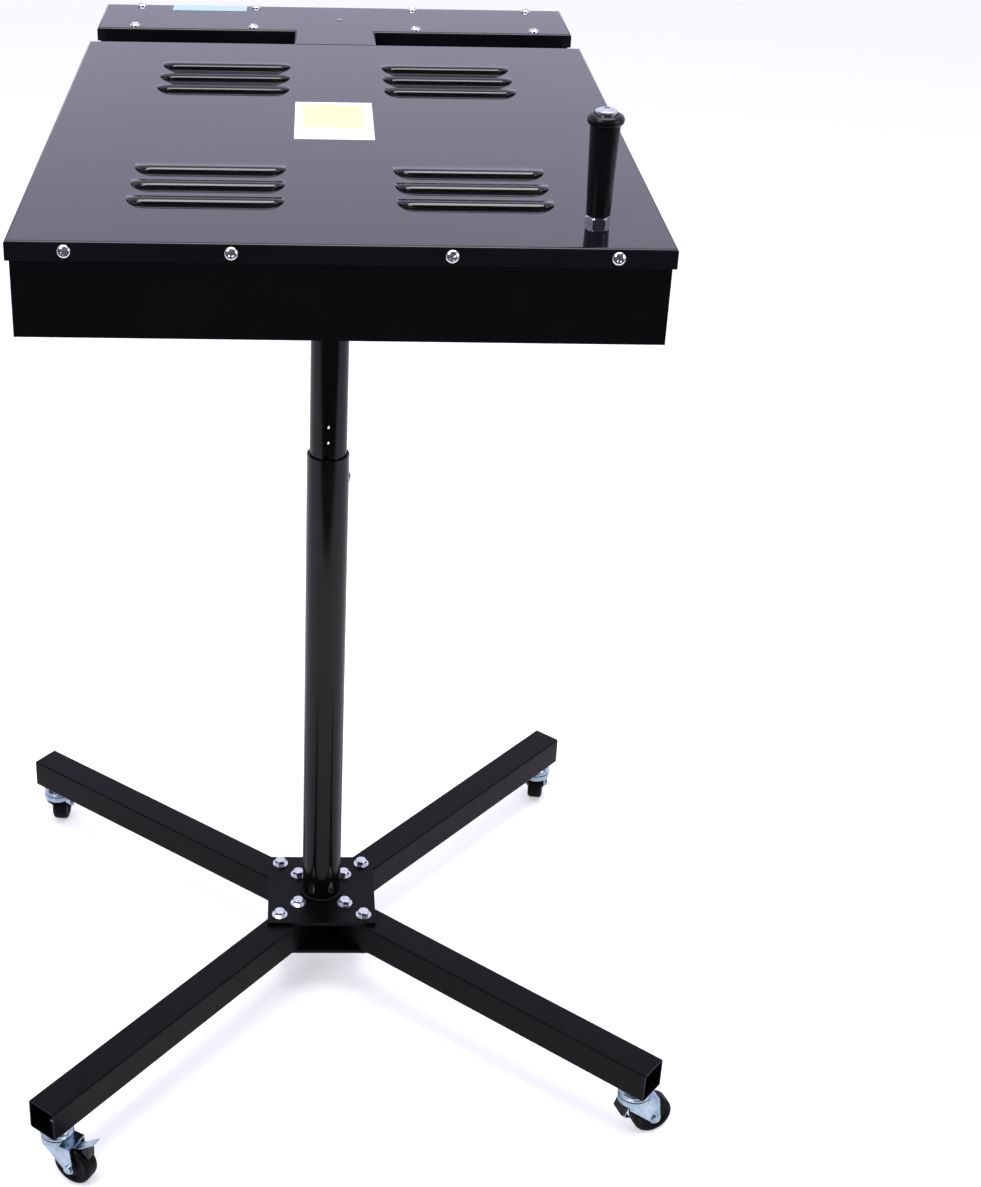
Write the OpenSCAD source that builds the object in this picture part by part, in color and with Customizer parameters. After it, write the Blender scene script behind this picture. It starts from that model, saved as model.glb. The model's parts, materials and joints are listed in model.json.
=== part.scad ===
// Flash dryer for screen printing: a heater head on a telescopic post with four legs on casters.
// The origin is on the floor under the post's axis. X is to the right, Y to the back, Z up.

/* [Stand] */
// Height of a caster, from the floor to the underside of its leg
caster_h = 73; // [66:1:95]
// Outside width of a leg's square tube
leg_size = 40; // [34:1:50]
// Wall of a leg
leg_wall = 1.8; // [1.2:0.1:3]
// Outside corner radius of a leg's tube
leg_corner = 2.5; // [2.2:0.1:5]
// Distance from the post's axis to the outer end of a leg
leg_reach = 512; // [400:1:650]
// Distance from the post's axis to the inner end of a leg
leg_start = 25; // [24:1:28]
// Turn of the four legs about the post
leg_turn = 5.6; // [0:0.1:8]
// Play of each leg in its bolt holes: front left, front right, rear right, rear left
leg_skews = [0.6, -0.5, -2.2, 1.4]; // [-3:0.1:3]
// Width of the two square hub plates
hub_w = 140; // [132:1:180]
// Thickness of a hub plate
hub_plate = 5; // [3:0.5:8]
// Corner radius of a hub plate
hub_corner = 3; // [1:0.5:10]
// Turn of the hub plates about the post
hub_turn = 0.5; // [0:0.1:2]
// Distance from the post's axis to an inner bolt
bolt_inner = 43; // [41:0.5:46]
// Distance from the post's axis to an outer bolt
bolt_outer = 77; // [68:0.5:80]

/* [Post] */
// Outside diameter of the lower tube
outer_d = 50; // [46:1:54]
// Wall of the lower tube
outer_wall = 2; // [1.5:0.1:2.5]
// Length of the lower tube
outer_len = 637; // [500:1:800]
// Gap between the two tubes, which the guide bushes fill
tube_gap = 1; // [0.6:0.1:1.5]
// Wall of the sliding tube
inner_wall = 2; // [1.5:0.1:4]
// Length of the sliding tube
inner_len = 615; // [570:1:700]
// Height of the sliding tube's top above the lower tube's rim
column_rise = 400.4; // [300:0.1:420]
// Depth of the clamp screw below the lower tube's rim
lock_drop = 57.4; // [45:0.1:80]
// Turn of the row of holes and of the clamp screw about the post
row_turn = 7; // [0:0.5:15]
// Spacing of the height holes
hole_pitch = 20; // [15:1:25]
// Diameter of a height hole
hole_d = 7; // [5:0.5:9]
// Number of height holes above the clamp screw
holes_above = 5; // [3:1:6]
// Number of height holes below the clamp screw
holes_below = 6; // [3:1:6]
// Leg of the weld bead round the foot of the post
weld_leg = 4; // [2:0.5:5]
// Length of a guide bush
bush_len = 25; // [15:1:30]
// Depth of the upper guide bush below the rim
bush_drop = 5; // [2:0.5:10]

/* [Clamp screw] */
// Diameter of the clamp screw
lock_d = 10; // [8:1:12]
// Diameter of the welded boss
boss_d = 18; // [16:1:24]
// Length of the boss outside the tube
boss_len = 12; // [8:1:16]
// Diameter of the knob over its lobes
knob_d = 42; // [36:1:50]
// Length of the knob's grip
knob_len = 16; // [12:1:24]
// Number of lobes on the knob
knob_lobes = 5; // [3:1:7]

/* [Casters] */
// Diameter of a wheel
wheel_d = 50; // [40:1:54]
// Width of a wheel's tread
wheel_w = 21; // [16:0.5:23]
// Distance from the swivel's axis to the axle
caster_trail = 24.5; // [22:0.5:26]
// Distance from the leg's outer end to the swivel's axis
caster_inset = 22.5; // [21:0.5:40]
// Outside width of the fork
fork_w = 30; // [29:0.5:34]
// Thickness of the fork's sheet
fork_sheet = 2; // [1.5:0.1:2.2]
// Diameter of the ball races
race_d = 39.5; // [36:0.5:40]
// Height of the upper race
race_t = 12; // [10:0.5:13]
// Height of the lower race above the fork's crown
dish_t = 5.2; // [4:0.1:5.5]
// Diameter of the axle
axle_d = 6; // [5:0.5:8]
// Diameter of the swivel's pin and of the stud above it
stem_d = 10; // [8:0.5:12]
// Direction in which each caster trails: front left, front right, rear right, rear left
caster_turns = [-30, 19, 80, 86]; // [-180:1:180]

/* [Head] */
// Width of the top cover
cover_w = 508; // [440:1:600]
// Depth of the top cover, front to back
cover_d = 628; // [560:1:760]
// Distance from the post's axis to the cover's rear edge
cover_back = 44; // [40:1:60]
// Height of the cover's turned-down edge
cover_lip = 16; // [12:0.5:24]
// Bend radius of the cover's edges
cover_bend = 2.5; // [1.5:0.1:4]
// Thickness of the head's sheet metal
sheet = 1.2; // [0.8:0.1:1.6]
// Height of the head's case, from its underside to the top of the cover
case_h = 78.5; // [70:0.5:100]
// Gap between the cover's turned-down edge and the case
case_gap = 1.8; // [0.5:0.1:3]
// Width of the case's inward flanges
case_flange = 14; // [10:1:20]
// Depth of the wide flange at the rear of the heater case
seat_flange = 45; // [42:1:50]

/* [Control box] */
// Width of the lid of the control box
lid_w = 504; // [440:1:600]
// Depth of the lid, front to back
lid_d = 113; // [100:1:140]
// Distance from the post's axis to the lid's front edge
lid_front = 16; // [14:1:30]
// Height of the lid's turned-down edge
lid_lip = 14; // [10:0.5:20]
// Width of the tongue of the lid that covers the neck
neck_w = 85; // [70:1:100]

/* [Louvers] */
// Length of a louver
louver_len = 126.5; // [110:0.5:160]
// Depth of a louver, front to back
louver_d = 24; // [18:0.5:32]
// Rise of a louver's front lip
louver_h = 7; // [5:0.5:10]
// Spacing of the louvers in a group
louver_pitch = 43; // [38:0.5:50]
// Number of louvers in a group
louver_rows = 3; // [1:1:4]
// Distance from the head's middle to the middle of a louver
louver_x = 108; // [90:1:125]
// Distance from the middle of the cover to the middle of a front or rear group
louver_y = 171.5; // [150:0.5:190]

/* [Saddle and swivel] */
// Width of the saddle plate
saddle_w = 110; // [90:1:130]
// Depth of the saddle plate each side of the post
saddle_half = 88; // [80:1:92]
// Thickness of the saddle plate
saddle_t = 5; // [3:0.5:8]
// Length of the swivel sleeve below the saddle plate
sleeve_len = 90; // [60:1:120]
// Wall of the swivel sleeve
sleeve_wall = 3; // [2:0.1:5]
// Thickness of the thrust washer
washer_t = 3; // [2:0.1:5]
// Thickness of the plug in the top of the sliding tube
plug_t = 8; // [6:0.5:12]
// Diameter of the swivel bolt
pivot_d = 12; // [10:1:14]

/* [Handle] */
// Distance from the head's middle to the handle
handle_x = 200; // [150:1:220]
// Distance from the cover's front edge to the handle
handle_y = 62; // [45:1:90]
// Length of the grip
grip_len = 79.5; // [70:0.5:110]
// Diameter of the grip at its foot
grip_foot_d = 19; // [18:0.5:24]
// Diameter of the grip below its bead
grip_top_d = 23.8; // [22:0.2:28]
// Diameter of the bead at the top of the grip
grip_bead_d = 28.8; // [26:0.2:34]
// Diameter of the handle's bolt
handle_bolt_d = 8; // [6:1:10]
// Diameter of the bolt's head
handle_head_d = 17; // [14:0.5:17.5]

/* [Heater] */
// Number of quartz tubes
heater_count = 6; // [3:1:7]
// Spacing of the quartz tubes
heater_pitch = 92; // [70:1:95]
// Diameter of a quartz tube
heater_d = 12; // [10:0.5:16]
// Length of a quartz tube
heater_len = 440; // [380:1:450]
// Height of the tubes above the underside of the case
heater_rise = 24; // [20:1:30]
// Diameter of a ceramic end
ceramic_d = 18; // [17:0.5:20]
// Thickness of the insulation board
board_t = 22; // [15:1:26]
// Diameter of the guard's wire
guard_d = 3; // [2:0.1:4]
// Number of guard wires from front to back
guard_long = 9; // [5:2:11]
// Number of guard wires from side to side
guard_cross = 7; // [3:1:9]

/* [Controls] */
// Height of the controls above the underside of the case
control_rise = 38; // [36:1:42]
// Distance of the temperature dial from the head's middle
dial_x = 90; // [70:1:120]
// Diameter of the temperature dial
dial_d = 38; // [30:1:44]
// Depth of the temperature dial
dial_len = 15; // [10:1:20]
// Distance of the pilot lamp from the head's middle
lamp_x = 30; // [26:1:40]
// Diameter of the pilot lamp's lens
lamp_d = 12; // [8:1:16]
// Distance of the power switch from the head's middle, on the other side
switch_x = 40; // [30:1:60]
// Width of the power switch's bezel
switch_w = 25; // [22:0.5:30]
// Height of the power switch's bezel
switch_h = 32; // [30:0.5:36]
// Distance of the cable gland from the head's middle, on the other side
gland_x = 160; // [130:1:200]
// Bore of the cable gland
gland_bore = 10; // [8:0.5:12]

/* [Clearances] */
// Radial clearance of every running or threaded fit
fit = 0.05; // [0.02:0.01:0.09]
// Gap between pieces that move past each other
gap = 0.3; // [0.3:0.05:0.5]

/* [Hidden] */
$fn = 64;

black = [0.07, 0.07, 0.08];
zinc = [0.78, 0.8, 0.84];
rubber = [0.12, 0.12, 0.13];
nylon = [0.85, 0.84, 0.8];

// Overrun of every cut past the face it goes through
over = 1;

// Stand
leg_base = caster_h;
leg_top = leg_base + leg_size;
hub_top = leg_top + hub_plate;
hub_under = leg_base - hub_plate;
leg_base_angles = [225, 315, 45, 135];
function leg_angle(i) = leg_base_angles[i] + leg_turn + leg_skews[i];
bolt_d = 8;
bolt_hole_d = 9;
bolt_flange_d = 20;
bolt_flange_t = 1.6;
bolt_hex = 13;
bolt_head_h = 7.5;
nut_h = 8;
bolt_tail = 3;
hex_face_share = 0.96;

// Post
outer_r = outer_d / 2;
outer_bore_r = outer_r - outer_wall;
inner_r = outer_bore_r - tube_gap;
outer_top = hub_top + outer_len;
inner_top = outer_top + column_rise;
inner_foot = inner_top - inner_len;
lock_z = outer_top - lock_drop;
lock_tip = inner_r + gap;
lock_knob_gap = 3;
knob_neck = 6;
lock_knob_start = outer_r + boss_len + lock_knob_gap;
knob_core_share = 0.68;
knob_lobe_share = 0.3;
knob_neck_share = 0.42;

// Casters
wheel_r = wheel_d / 2;
wheel_edge = 4;
wheel_hub_d = 16;
wheel_side_gap = 0.25;
race_gap = 0.4;
race_neck_share = 0.82;
race_shoulder = 4;
race_edge = 1.5;
crown_top = leg_base - race_t - race_gap;
crown_face = crown_top - dish_t;
crown_under = crown_face - fork_sheet;
crown_back = caster_trail + 3;
side_front_share = 0.31;
side_root_share = 0.92;
side_front_z = crown_under - 4.4;
side_slope = 38;
pin_head_d = 15;
pin_head_t = 2.5;
axle_head_d = 10;
axle_head_t = 2.5;
fork_boss_d = 14;
stud_up = 24;
stem_hex = 16;
stem_nut_h = 8;
brake_pin_d = 2.4;
brake_sheet = 1.2;
brake_clear = 4;
pedal_pin_back = 3;
pedal_pin_drop = 1.55;
strap_rise = 0.6;
strap_len = 6.5;
pedal_tilt = 36;
pedal_len = 32;
pedal_w = 18;
pedal_shoe_w = 15;
pedal_shoe_start = 8;
pedal_shoe_len = 9;
pedal_shoe_drop = 8;
lever_pin_drop = 3.2;
lever_tilt = 20;
lever_len = 18;
lever_w = 20;
lever_foot = 9;
lever_shoe_start = 1;
lever_shoe_h = 14;
lever_shoe_t = 7;
// Pivots of the two brakes in the fork, as distance behind the swivel and height
brake_trail_pin = [crown_back - pedal_pin_back, crown_under - pedal_pin_drop];
brake_lead_pin = [-pin_head_d / 2 - brake_pin_d / 2 - gap, crown_under - lever_pin_drop];

// Head
saddle_top = inner_top + fit + washer_t + saddle_t;
case_base = saddle_top;
head_top = case_base + case_h;
cover_under = head_top - sheet;
cover_rear = -cover_back;
cover_front = cover_rear - cover_d;
cover_mid = cover_rear - cover_d / 2;
case_x = cover_w / 2 - sheet - case_gap;
case_front = cover_front + sheet + case_gap;
case_rear = cover_rear - sheet - case_gap;
case_top_face = cover_under;
lid_rear = lid_front + lid_d;
box_x = lid_w / 2 - sheet - case_gap;
box_front = lid_front + sheet + case_gap;
box_rear = lid_rear - sheet - case_gap;
box_mid = (box_front + box_rear) / 2;

// Louvers
louver_shift = 9.5;
louver_slot_share = 0.72;

// Screws of the case
screw_d = 5;
screw_head_d = 11;
screw_head_h = 3.6;
screw_round = 2;
screw_len = 12;
recess_w = 1.6;
recess_l = 6;
recess_deep = 1.8;
recess_turn = 20;
screw_x_shares = [-0.4115, -0.164, 0.164, 0.4115];
lid_screw_x_shares = [-0.4216, -0.1716, 0.1716, 0.4216];
lid_screw_front = 10;
lid_screw_rear = 8;
rivet_d = 6;
rivet_h = 1.5;
rivet_x = 5.7;
rivet_share = 0.448;
rivet_y = lid_front + lid_d * rivet_share;

// Labels, which are blank
label_w = 71;
label_d = 122;
label_x = -3.5;
label_back = 288;
label_t = 0.3;
lid_label_w = 81;
lid_label_d = 25;
lid_label_x = -137;
lid_label_back = 15;

// Swivel
plug_r = inner_r - inner_wall;
pivot_hex = 18;
pivot_head_h = 7.5;
pivot_nut_h = 10;
pivot_washer_share = 0.9;
saddle_corner = 6;
saddle_bolt_d = 6;
saddle_hex = 10;
saddle_head_h = 4;
saddle_nut_h = 5;
saddle_bolt_x = 30;
saddle_bolt_front = 68;
saddle_bolt_rear = 60;
saddle_bolt_tail = 2;

// Neck
duct_w = neck_w - 2 * (sheet + case_gap);
duct_base = saddle_top + pivot_head_h + gap + 2 * sheet;
wire_hole_d = 24;
wire_rise = 41;
wire_z = case_base + wire_rise;
grommet_wall = 3;
grommet_lip = 3;
grommet_t = 2.5;

// Handle
handle_front = cover_front + handle_y;
handle_nut_hex = 17;
handle_nut_h = 6;
nut_room_share = 1.5;
handle_tail = 3;
grip_base = head_top + handle_nut_h + gap;
grip_top = grip_base + grip_len;
bead_h = 9;
bead_round_share = 0.49;
cup_d = 19;
cup_deep = 1.5;
handle_head_h = 6;
head_turn = 30;
handle_head_base = grip_top - cup_deep + gap;

// Heater
wire_space = 38;
heater_front = case_front + sheet;
heater_rear = case_rear - sheet - wire_space;
heater_mid = (heater_front + heater_rear) / 2;
heater_z = case_base + heater_rise;
board_top = case_top_face - sheet;
board_base = board_top - board_t;
reflector_t = 0.8;
reflector_top = board_base;
rail_t = 1.5;
rail_flange = 12;
rail_top = reflector_top - reflector_t;
ceramic_len = 24;
ceramic_grip = 8;
ceramic_end = heater_len / 2 - ceramic_grip + ceramic_len;
rail_x = heater_len / 2 + ceramic_grip / 2;
rail_base = heater_z - ceramic_d / 2 - rail_t;
ridge_h = 14;
ridge_half = 15;
skirt_h = 26;
board_x = case_x - sheet - gap;
board_front = case_front + sheet + screw_len - 2 * sheet - case_gap + gap;
guard_rest = case_base + sheet;
guard_end = 4;
guard_x = case_x - sheet - guard_end;
guard_front = case_front + sheet + guard_end;
guard_rear = case_rear - sheet - guard_end;

// Wiring
lead_d = 5;
lead_bend_share = 1.08;
lead_x = 6;
lead_run = case_rear - sheet - wire_space / 2;
lead_side = ceramic_end + lead_d * lead_bend_share / 2;
lead_hole_share = 1.6;
block_w = 46;
block_d = 22;
block_h = 20;
block_posts = 4;
block_screw_d = 6;
block_screw_h = 2;
block_y = box_mid + 16;

// Controls
control_z = case_base + control_rise;
shaft_d = 6;
stat_w = 34;
stat_d = 28;
stat_bush_d = 12;
stat_bush_len = 4;
stat_bore = 14;
dial_gap = 0.5;
dial_flare = 3;
dial_mark_w = 2;
dial_mark_deep = 1;
dial_mark_turn = 240;
dial_share = 0.84;
dial_flutes = 12;
dial_flute_d = 3;
bezel_t = 2;
bezel_rim = 3;
switch_body_d = 20;
rocker_gap = 0.8;
rocker_pin_d = 3;
rocker_tilt = 11;
rocker_deep = 7;
rocker_rise = 3.5;
lamp_rim = 2;
lamp_rim_t = 1.5;
lamp_lens = 3;
lamp_back = 16;
gland_thread_d = 20;
gland_hex = 24;
gland_hex_t = 6;
gland_dome = 18;
gland_dome_d = 22;
gland_mouth_d = 15;
gland_nut_t = 5;
gland_tail = 8;

// A rectangle with rounded corners
module round_rect(w, h, r) {
  square([w - 2 * r, h], center = true);
  square([w, h - 2 * r], center = true);
  for (x = [-1, 1], y = [-1, 1]) translate([x * (w / 2 - r), y * (h / 2 - r)]) circle(r);
}

// A rectangle standing on the X axis whose two upper corners are rounded
module arched(w, h, r) {
  translate([-w / 2, 0]) square([w, h - r]);
  translate([r - w / 2, 0]) square([w - 2 * r, h]);
  for (x = [-1, 1]) translate([x * (w / 2 - r), h - r]) circle(r);
}

// A block with all four of its upper edges bent round, centred on X and Y, standing on z = 0
module bent_block(w, d, h, r) {
  intersection() {
    translate([0, d / 2, 0]) rotate([90, 0, 0]) linear_extrude(d) arched(w, h, r);
    translate([-w / 2, 0, 0]) rotate([90, 0, 90]) linear_extrude(w) arched(d, h, r);
  }
}

// A sheet-metal tray, open below, with its top at z = h
module tray(w, d, h, r) {
  difference() {
    bent_block(w, d, h, r);
    translate([0, 0, -over]) bent_block(w - 2 * sheet, d - 2 * sheet, h - sheet + over, r - sheet);
  }
}

// A cylinder along +Y from the origin
module rod_y(d, len) {
  rotate([-90, 0, 0]) cylinder(d = d, h = len);
}

// A cylinder along +X from the origin
module rod_x(d, len) {
  rotate([0, 90, 0]) cylinder(d = d, h = len);
}

// A hexagonal prism with its upper corners chamfered
module hex_prism(flats, h) {
  intersection() {
    cylinder(d = flats / cos(30), h = h, $fn = 6);
    cylinder(d1 = flats / cos(30) + h, d2 = flats * hex_face_share, h = h);
  }
}

// A nut with its bore
module nut(flats, h, d) {
  difference() {
    hex_prism(flats, h);
    translate([0, 0, -over]) cylinder(d = d + 2 * fit, h = h + 2 * over);
  }
}

// A hexagon bolt with its head above z = 0 and its shank below
module hex_bolt(d, flats, head_h, len) {
  hex_prism(flats, head_h);
  translate([0, 0, -len]) cylinder(d = d, h = len + head_h / 2);
}

// Repeats its children at the eight bolts of the hub, or at those of one leg
module at_hub_bolts(legs = [0, 1, 2, 3]) {
  for (i = legs, r = [bolt_inner, bolt_outer])
    rotate([0, 0, leg_base_angles[i] + hub_turn]) translate([r, 0, 0]) children();
}

// Places its children at the swivel axis of caster i, on the floor
module at_caster(i) {
  rotate([0, 0, leg_angle(i)]) translate([leg_reach - caster_inset, 0, 0]) children();
}

// The same, turned so that +X is the direction in which the caster trails
module in_caster(i) {
  at_caster(i) rotate([0, 0, caster_turns[i] - leg_angle(i)]) children();
}

module hub_sheet() {
  difference() {
    rotate([0, 0, hub_turn]) linear_extrude(hub_plate) round_rect(hub_w, hub_w, hub_corner);
    translate([0, 0, -over]) at_hub_bolts() cylinder(d = bolt_hole_d, h = hub_plate + 2 * over);
  }
}

module hub_top_plate() {
  color(black) translate([0, 0, leg_top]) hub_sheet();
}

module hub_bottom_plate() {
  color(black) translate([0, 0, hub_under]) hub_sheet();
}

module leg(i) {
  color(black) difference() {
    rotate([0, 0, leg_angle(i)]) translate([leg_start, 0, leg_base + leg_size / 2])
      rotate([90, 0, 90]) difference() {
        linear_extrude(leg_reach - leg_start) round_rect(leg_size, leg_size, leg_corner);
        translate([0, 0, -over]) linear_extrude(leg_reach - leg_start + 2 * over)
          round_rect(leg_size - 2 * leg_wall, leg_size - 2 * leg_wall, leg_corner - leg_wall);
      }
    translate([0, 0, leg_base - over]) at_hub_bolts([i])
      cylinder(d = bolt_hole_d, h = leg_size + 2 * over);
    translate([0, 0, leg_base - over]) at_caster(i)
      cylinder(d = stem_d + 2 * fit, h = leg_wall + 2 * over);
  }
}

module hub_bolts() {
  color(zinc) translate([0, 0, hub_top]) at_hub_bolts() {
    cylinder(d = bolt_flange_d, h = bolt_flange_t);
    hex_bolt(bolt_d, bolt_hex, bolt_head_h, hub_top - hub_under + nut_h + bolt_tail);
  }
}

module hub_nuts() {
  color(zinc) translate([0, 0, hub_under]) mirror([0, 0, 1]) at_hub_bolts() difference() {
    union() {
      cylinder(d = bolt_flange_d, h = bolt_flange_t);
      hex_prism(bolt_hex, nut_h);
    }
    translate([0, 0, -over]) cylinder(d = bolt_d + 2 * fit, h = nut_h + 2 * over);
  }
}

// Places its children at the clamp screw's height, with +Y along the row of holes
module in_row() {
  rotate([0, 0, -row_turn]) translate([0, 0, lock_z]) children();
}

module outer_tube() {
  color(black) difference() {
    union() {
      translate([0, 0, hub_top]) cylinder(d = outer_d, h = outer_len);
      in_row() rod_y(boss_d, outer_r + boss_len);
    }
    translate([0, 0, hub_top - over]) cylinder(r = outer_bore_r, h = outer_len + 2 * over);
    in_row() rod_y(lock_d + 2 * fit, outer_r + boss_len + over);
  }
}

module post_weld() {
  color(black) translate([0, 0, hub_top]) rotate_extrude()
    polygon([[outer_r, 0], [outer_r + weld_leg, 0], [outer_r, weld_leg]]);
}

module bush(r_out, r_in, len) {
  difference() {
    cylinder(r = r_out, h = len);
    translate([0, 0, -over]) cylinder(r = r_in, h = len + 2 * over);
  }
}

module guide_bush() {
  color(nylon) translate([0, 0, outer_top - bush_drop - bush_len])
    bush(outer_bore_r, inner_r + fit, bush_len);
}

module slide_bush() {
  color(nylon) translate([0, 0, inner_foot]) bush(outer_bore_r - fit, inner_r, bush_len);
}

module inner_tube() {
  color(black) difference() {
    translate([0, 0, inner_foot]) cylinder(r = inner_r, h = inner_len);
    translate([0, 0, inner_foot - over]) cylinder(r = plug_r, h = inner_len + 2 * over);
    for (i = [-holes_below:holes_above])
      in_row() translate([0, -inner_r - over, i * hole_pitch]) rod_y(hole_d, 2 * (inner_r + over));
  }
}

module tube_plug() {
  color(zinc) translate([0, 0, inner_top - plug_t]) bush(plug_r, pivot_d / 2 + fit, plug_t);
}

module lock_screw() {
  color(zinc) in_row() translate([0, lock_tip, 0])
    rod_y(lock_d, lock_knob_start + knob_neck + knob_len / 2 - lock_tip);
}

module lock_knob() {
  core = knob_d * knob_core_share;
  lobe = knob_d * knob_lobe_share;
  color(rubber) in_row() translate([0, lock_knob_start, 0]) rotate([-90, 0, 0]) difference() {
    union() {
      cylinder(d = knob_d * knob_neck_share, h = knob_neck + knob_len / 2);
      translate([0, 0, knob_neck]) {
        cylinder(d = core, h = knob_len);
        for (i = [0:knob_lobes - 1]) rotate([0, 0, i * 360 / knob_lobes])
          translate([(knob_d - lobe) / 2, 0, 0]) cylinder(d = lobe, h = knob_len);
      }
    }
    translate([0, 0, -over]) cylinder(d = lock_d, h = knob_neck + knob_len / 2 + over);
  }
}

// The fixed half of a caster: stud, upper race and the swivel's pin
module caster_stems() {
  color(zinc) for (i = [0:3]) at_caster(i) {
    translate([0, 0, leg_base - race_t]) {
      cylinder(d1 = race_d - 2 * race_edge, d2 = race_d, h = race_edge);
      translate([0, 0, race_edge]) cylinder(d = race_d, h = race_t - race_edge - race_shoulder);
      translate([0, 0, race_t - race_shoulder])
        cylinder(d1 = race_d, d2 = race_d * race_neck_share, h = race_shoulder);
    }
    translate([0, 0, crown_under - pin_head_t - race_gap])
      cylinder(d = stem_d, h = leg_base - crown_under + pin_head_t + race_gap + stud_up);
    translate([0, 0, crown_under - pin_head_t - race_gap]) cylinder(d = pin_head_d, h = pin_head_t);
  }
}

module stem_nuts() {
  color(zinc) for (i = [0:3]) at_caster(i)
    translate([0, 0, leg_base + leg_wall]) rotate([0, 0, 30]) nut(stem_hex, stem_nut_h, stem_d);
}

// Outline of a fork's side, X along the trail and Y up, with the axle at its foot
module fork_side() {
  r = fork_boss_d / 2;
  root = r * side_root_share;
  front = -race_d * side_front_share;
  difference() {
    union() {
      translate([caster_trail, wheel_r]) circle(r);
      polygon([[front, crown_face], [crown_back, crown_face], [caster_trail + root, wheel_r],
        [caster_trail - root * sin(side_slope), wheel_r - root * cos(side_slope)], [front, side_front_z]]);
    }
    translate([caster_trail, wheel_r]) circle(d = axle_d + 2 * fit);
  }
}

// A fork with the lower race, its axle bolt and the pin hole of its brake, if it has one
module fork(i) {
  brake_at = i > 1 ? undef : i == 0 ? brake_trail_pin : brake_lead_pin;
  color(zinc) in_caster(i) {
    difference() {
      union() {
        translate([0, 0, crown_under]) cylinder(d = race_d, h = crown_top - crown_under);
        translate([0, -fork_w / 2, crown_under]) cube([crown_back, fork_w, fork_sheet]);
        for (s = [0, 1]) mirror([0, s, 0]) translate([0, fork_w / 2, 0])
          rotate([90, 0, 0]) linear_extrude(fork_sheet) fork_side();
      }
      translate([0, 0, crown_under - over])
        cylinder(d = stem_d + 2 * fit, h = crown_top - crown_under + 2 * over);
      if (i < 2) translate([brake_at[0], -fork_w / 2 - over, brake_at[1]])
        rod_y(brake_pin_d + 2 * fit, fork_w + 2 * over);
    }
    translate([caster_trail, -fork_w / 2, wheel_r]) {
      translate([0, -axle_head_t, 0]) rod_y(axle_head_d, axle_head_t);
      rod_y(axle_d, fork_w);
      translate([0, fork_w, 0]) rod_y(axle_head_d, axle_head_t);
    }
  }
}

// A moulded wheel with rounded tread edges and a hub that reaches the fork
module wheel(i) {
  hub = fork_w - 2 * fork_sheet - 2 * wheel_side_gap;
  color(rubber) in_caster(i) translate([caster_trail, 0, wheel_r]) rotate([90, 0, 0]) difference() {
    union() {
      rotate_extrude() intersection() {
        round_rect(wheel_d, wheel_w, wheel_edge);
        translate([0, -wheel_w]) square([wheel_d, wheel_w * 2]);
      }
      translate([0, 0, -hub / 2]) cylinder(d = wheel_hub_d, h = hub);
    }
    translate([0, 0, -hub]) cylinder(d = axle_d + 2 * fit, h = 2 * hub);
  }
}

// A brake pedal that rises behind the wheel, with a shoe under it that is hollowed for the tread
module brake_front_left() {
  inner_w = fork_w - 2 * fork_sheet - 2 * gap;
  foot = [brake_trail_pin[0] + strap_len, crown_under - strap_rise - brake_sheet];
  near = pedal_shoe_start;
  far = near + pedal_shoe_len;
  lift = brake_sheet / 2;
  color(zinc) in_caster(0) {
    translate([brake_trail_pin[0], -fork_w / 2, brake_trail_pin[1]]) rod_y(brake_pin_d, fork_w);
    translate([brake_trail_pin[0], -inner_w / 2, foot[1]]) cube([strap_len, inner_w, brake_sheet]);
    translate([foot[0], 0, foot[1]]) rotate([0, -pedal_tilt, 0])
      translate([-lift, -pedal_w / 2, 0]) cube([pedal_len, pedal_w, brake_sheet]);
    difference() {
      translate([foot[0], pedal_shoe_w / 2, foot[1]]) rotate([90, 0, 0]) linear_extrude(pedal_shoe_w)
        polygon([[near, -pedal_shoe_drop], [far, -pedal_shoe_drop], [far, far * tan(pedal_tilt) + lift],
          [near, near * tan(pedal_tilt) + lift]]);
      translate([caster_trail, -fork_w, wheel_r]) rod_y(wheel_d + 2 * brake_clear, 2 * fork_w);
    }
  }
}

// A brake lever that hangs in front of the wheel, with its shoe outside and its foot toward the tread
module brake_front_right() {
  color(zinc) in_caster(1) translate([brake_lead_pin[0], 0, brake_lead_pin[1]]) {
    translate([0, -fork_w / 2, 0]) rod_y(brake_pin_d, fork_w);
    rotate([0, lever_tilt, 0]) {
      translate([-brake_sheet, -lever_w / 2, -lever_len]) cube([brake_sheet, lever_w, lever_len]);
      translate([-brake_sheet, -lever_w / 2, -lever_len]) cube([lever_foot, lever_w, brake_sheet]);
      translate([-brake_sheet - lever_shoe_t, -lever_w / 2, -lever_shoe_start - lever_shoe_h])
        cube([lever_shoe_t + brake_sheet / 2, lever_w, lever_shoe_h]);
    }
  }
}

// The heater's case: four walls, open above and below, with inward flanges
module heater_case() {
  w = case_x * 2;
  d = case_rear - case_front;
  h = case_top_face - case_base;
  color(black) difference() {
    translate([-case_x, case_front, case_base]) cube([w, d, h]);
    translate([sheet - case_x, case_front + sheet, case_base + sheet])
      cube([w - 2 * sheet, d - 2 * sheet, h - 2 * sheet]);
    translate([case_flange - case_x, case_front + case_flange, case_base - over])
      cube([w - 2 * case_flange, d - case_flange - seat_flange, sheet + 2 * over]);
    translate([case_flange - case_x, case_front + case_flange, case_top_face - sheet - over])
      cube([w - 2 * case_flange, d - 2 * case_flange, sheet + 2 * over]);
    translate([0, case_rear - sheet - over, wire_z]) rod_y(wire_hole_d, sheet + 2 * over);
    at_saddle_bolts([-saddle_bolt_front]) translate([0, 0, -over])
      cylinder(d = saddle_bolt_d + 2 * fit, h = sheet + 2 * over);
    at_cover_screws() screw_hole();
  }
}

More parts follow.
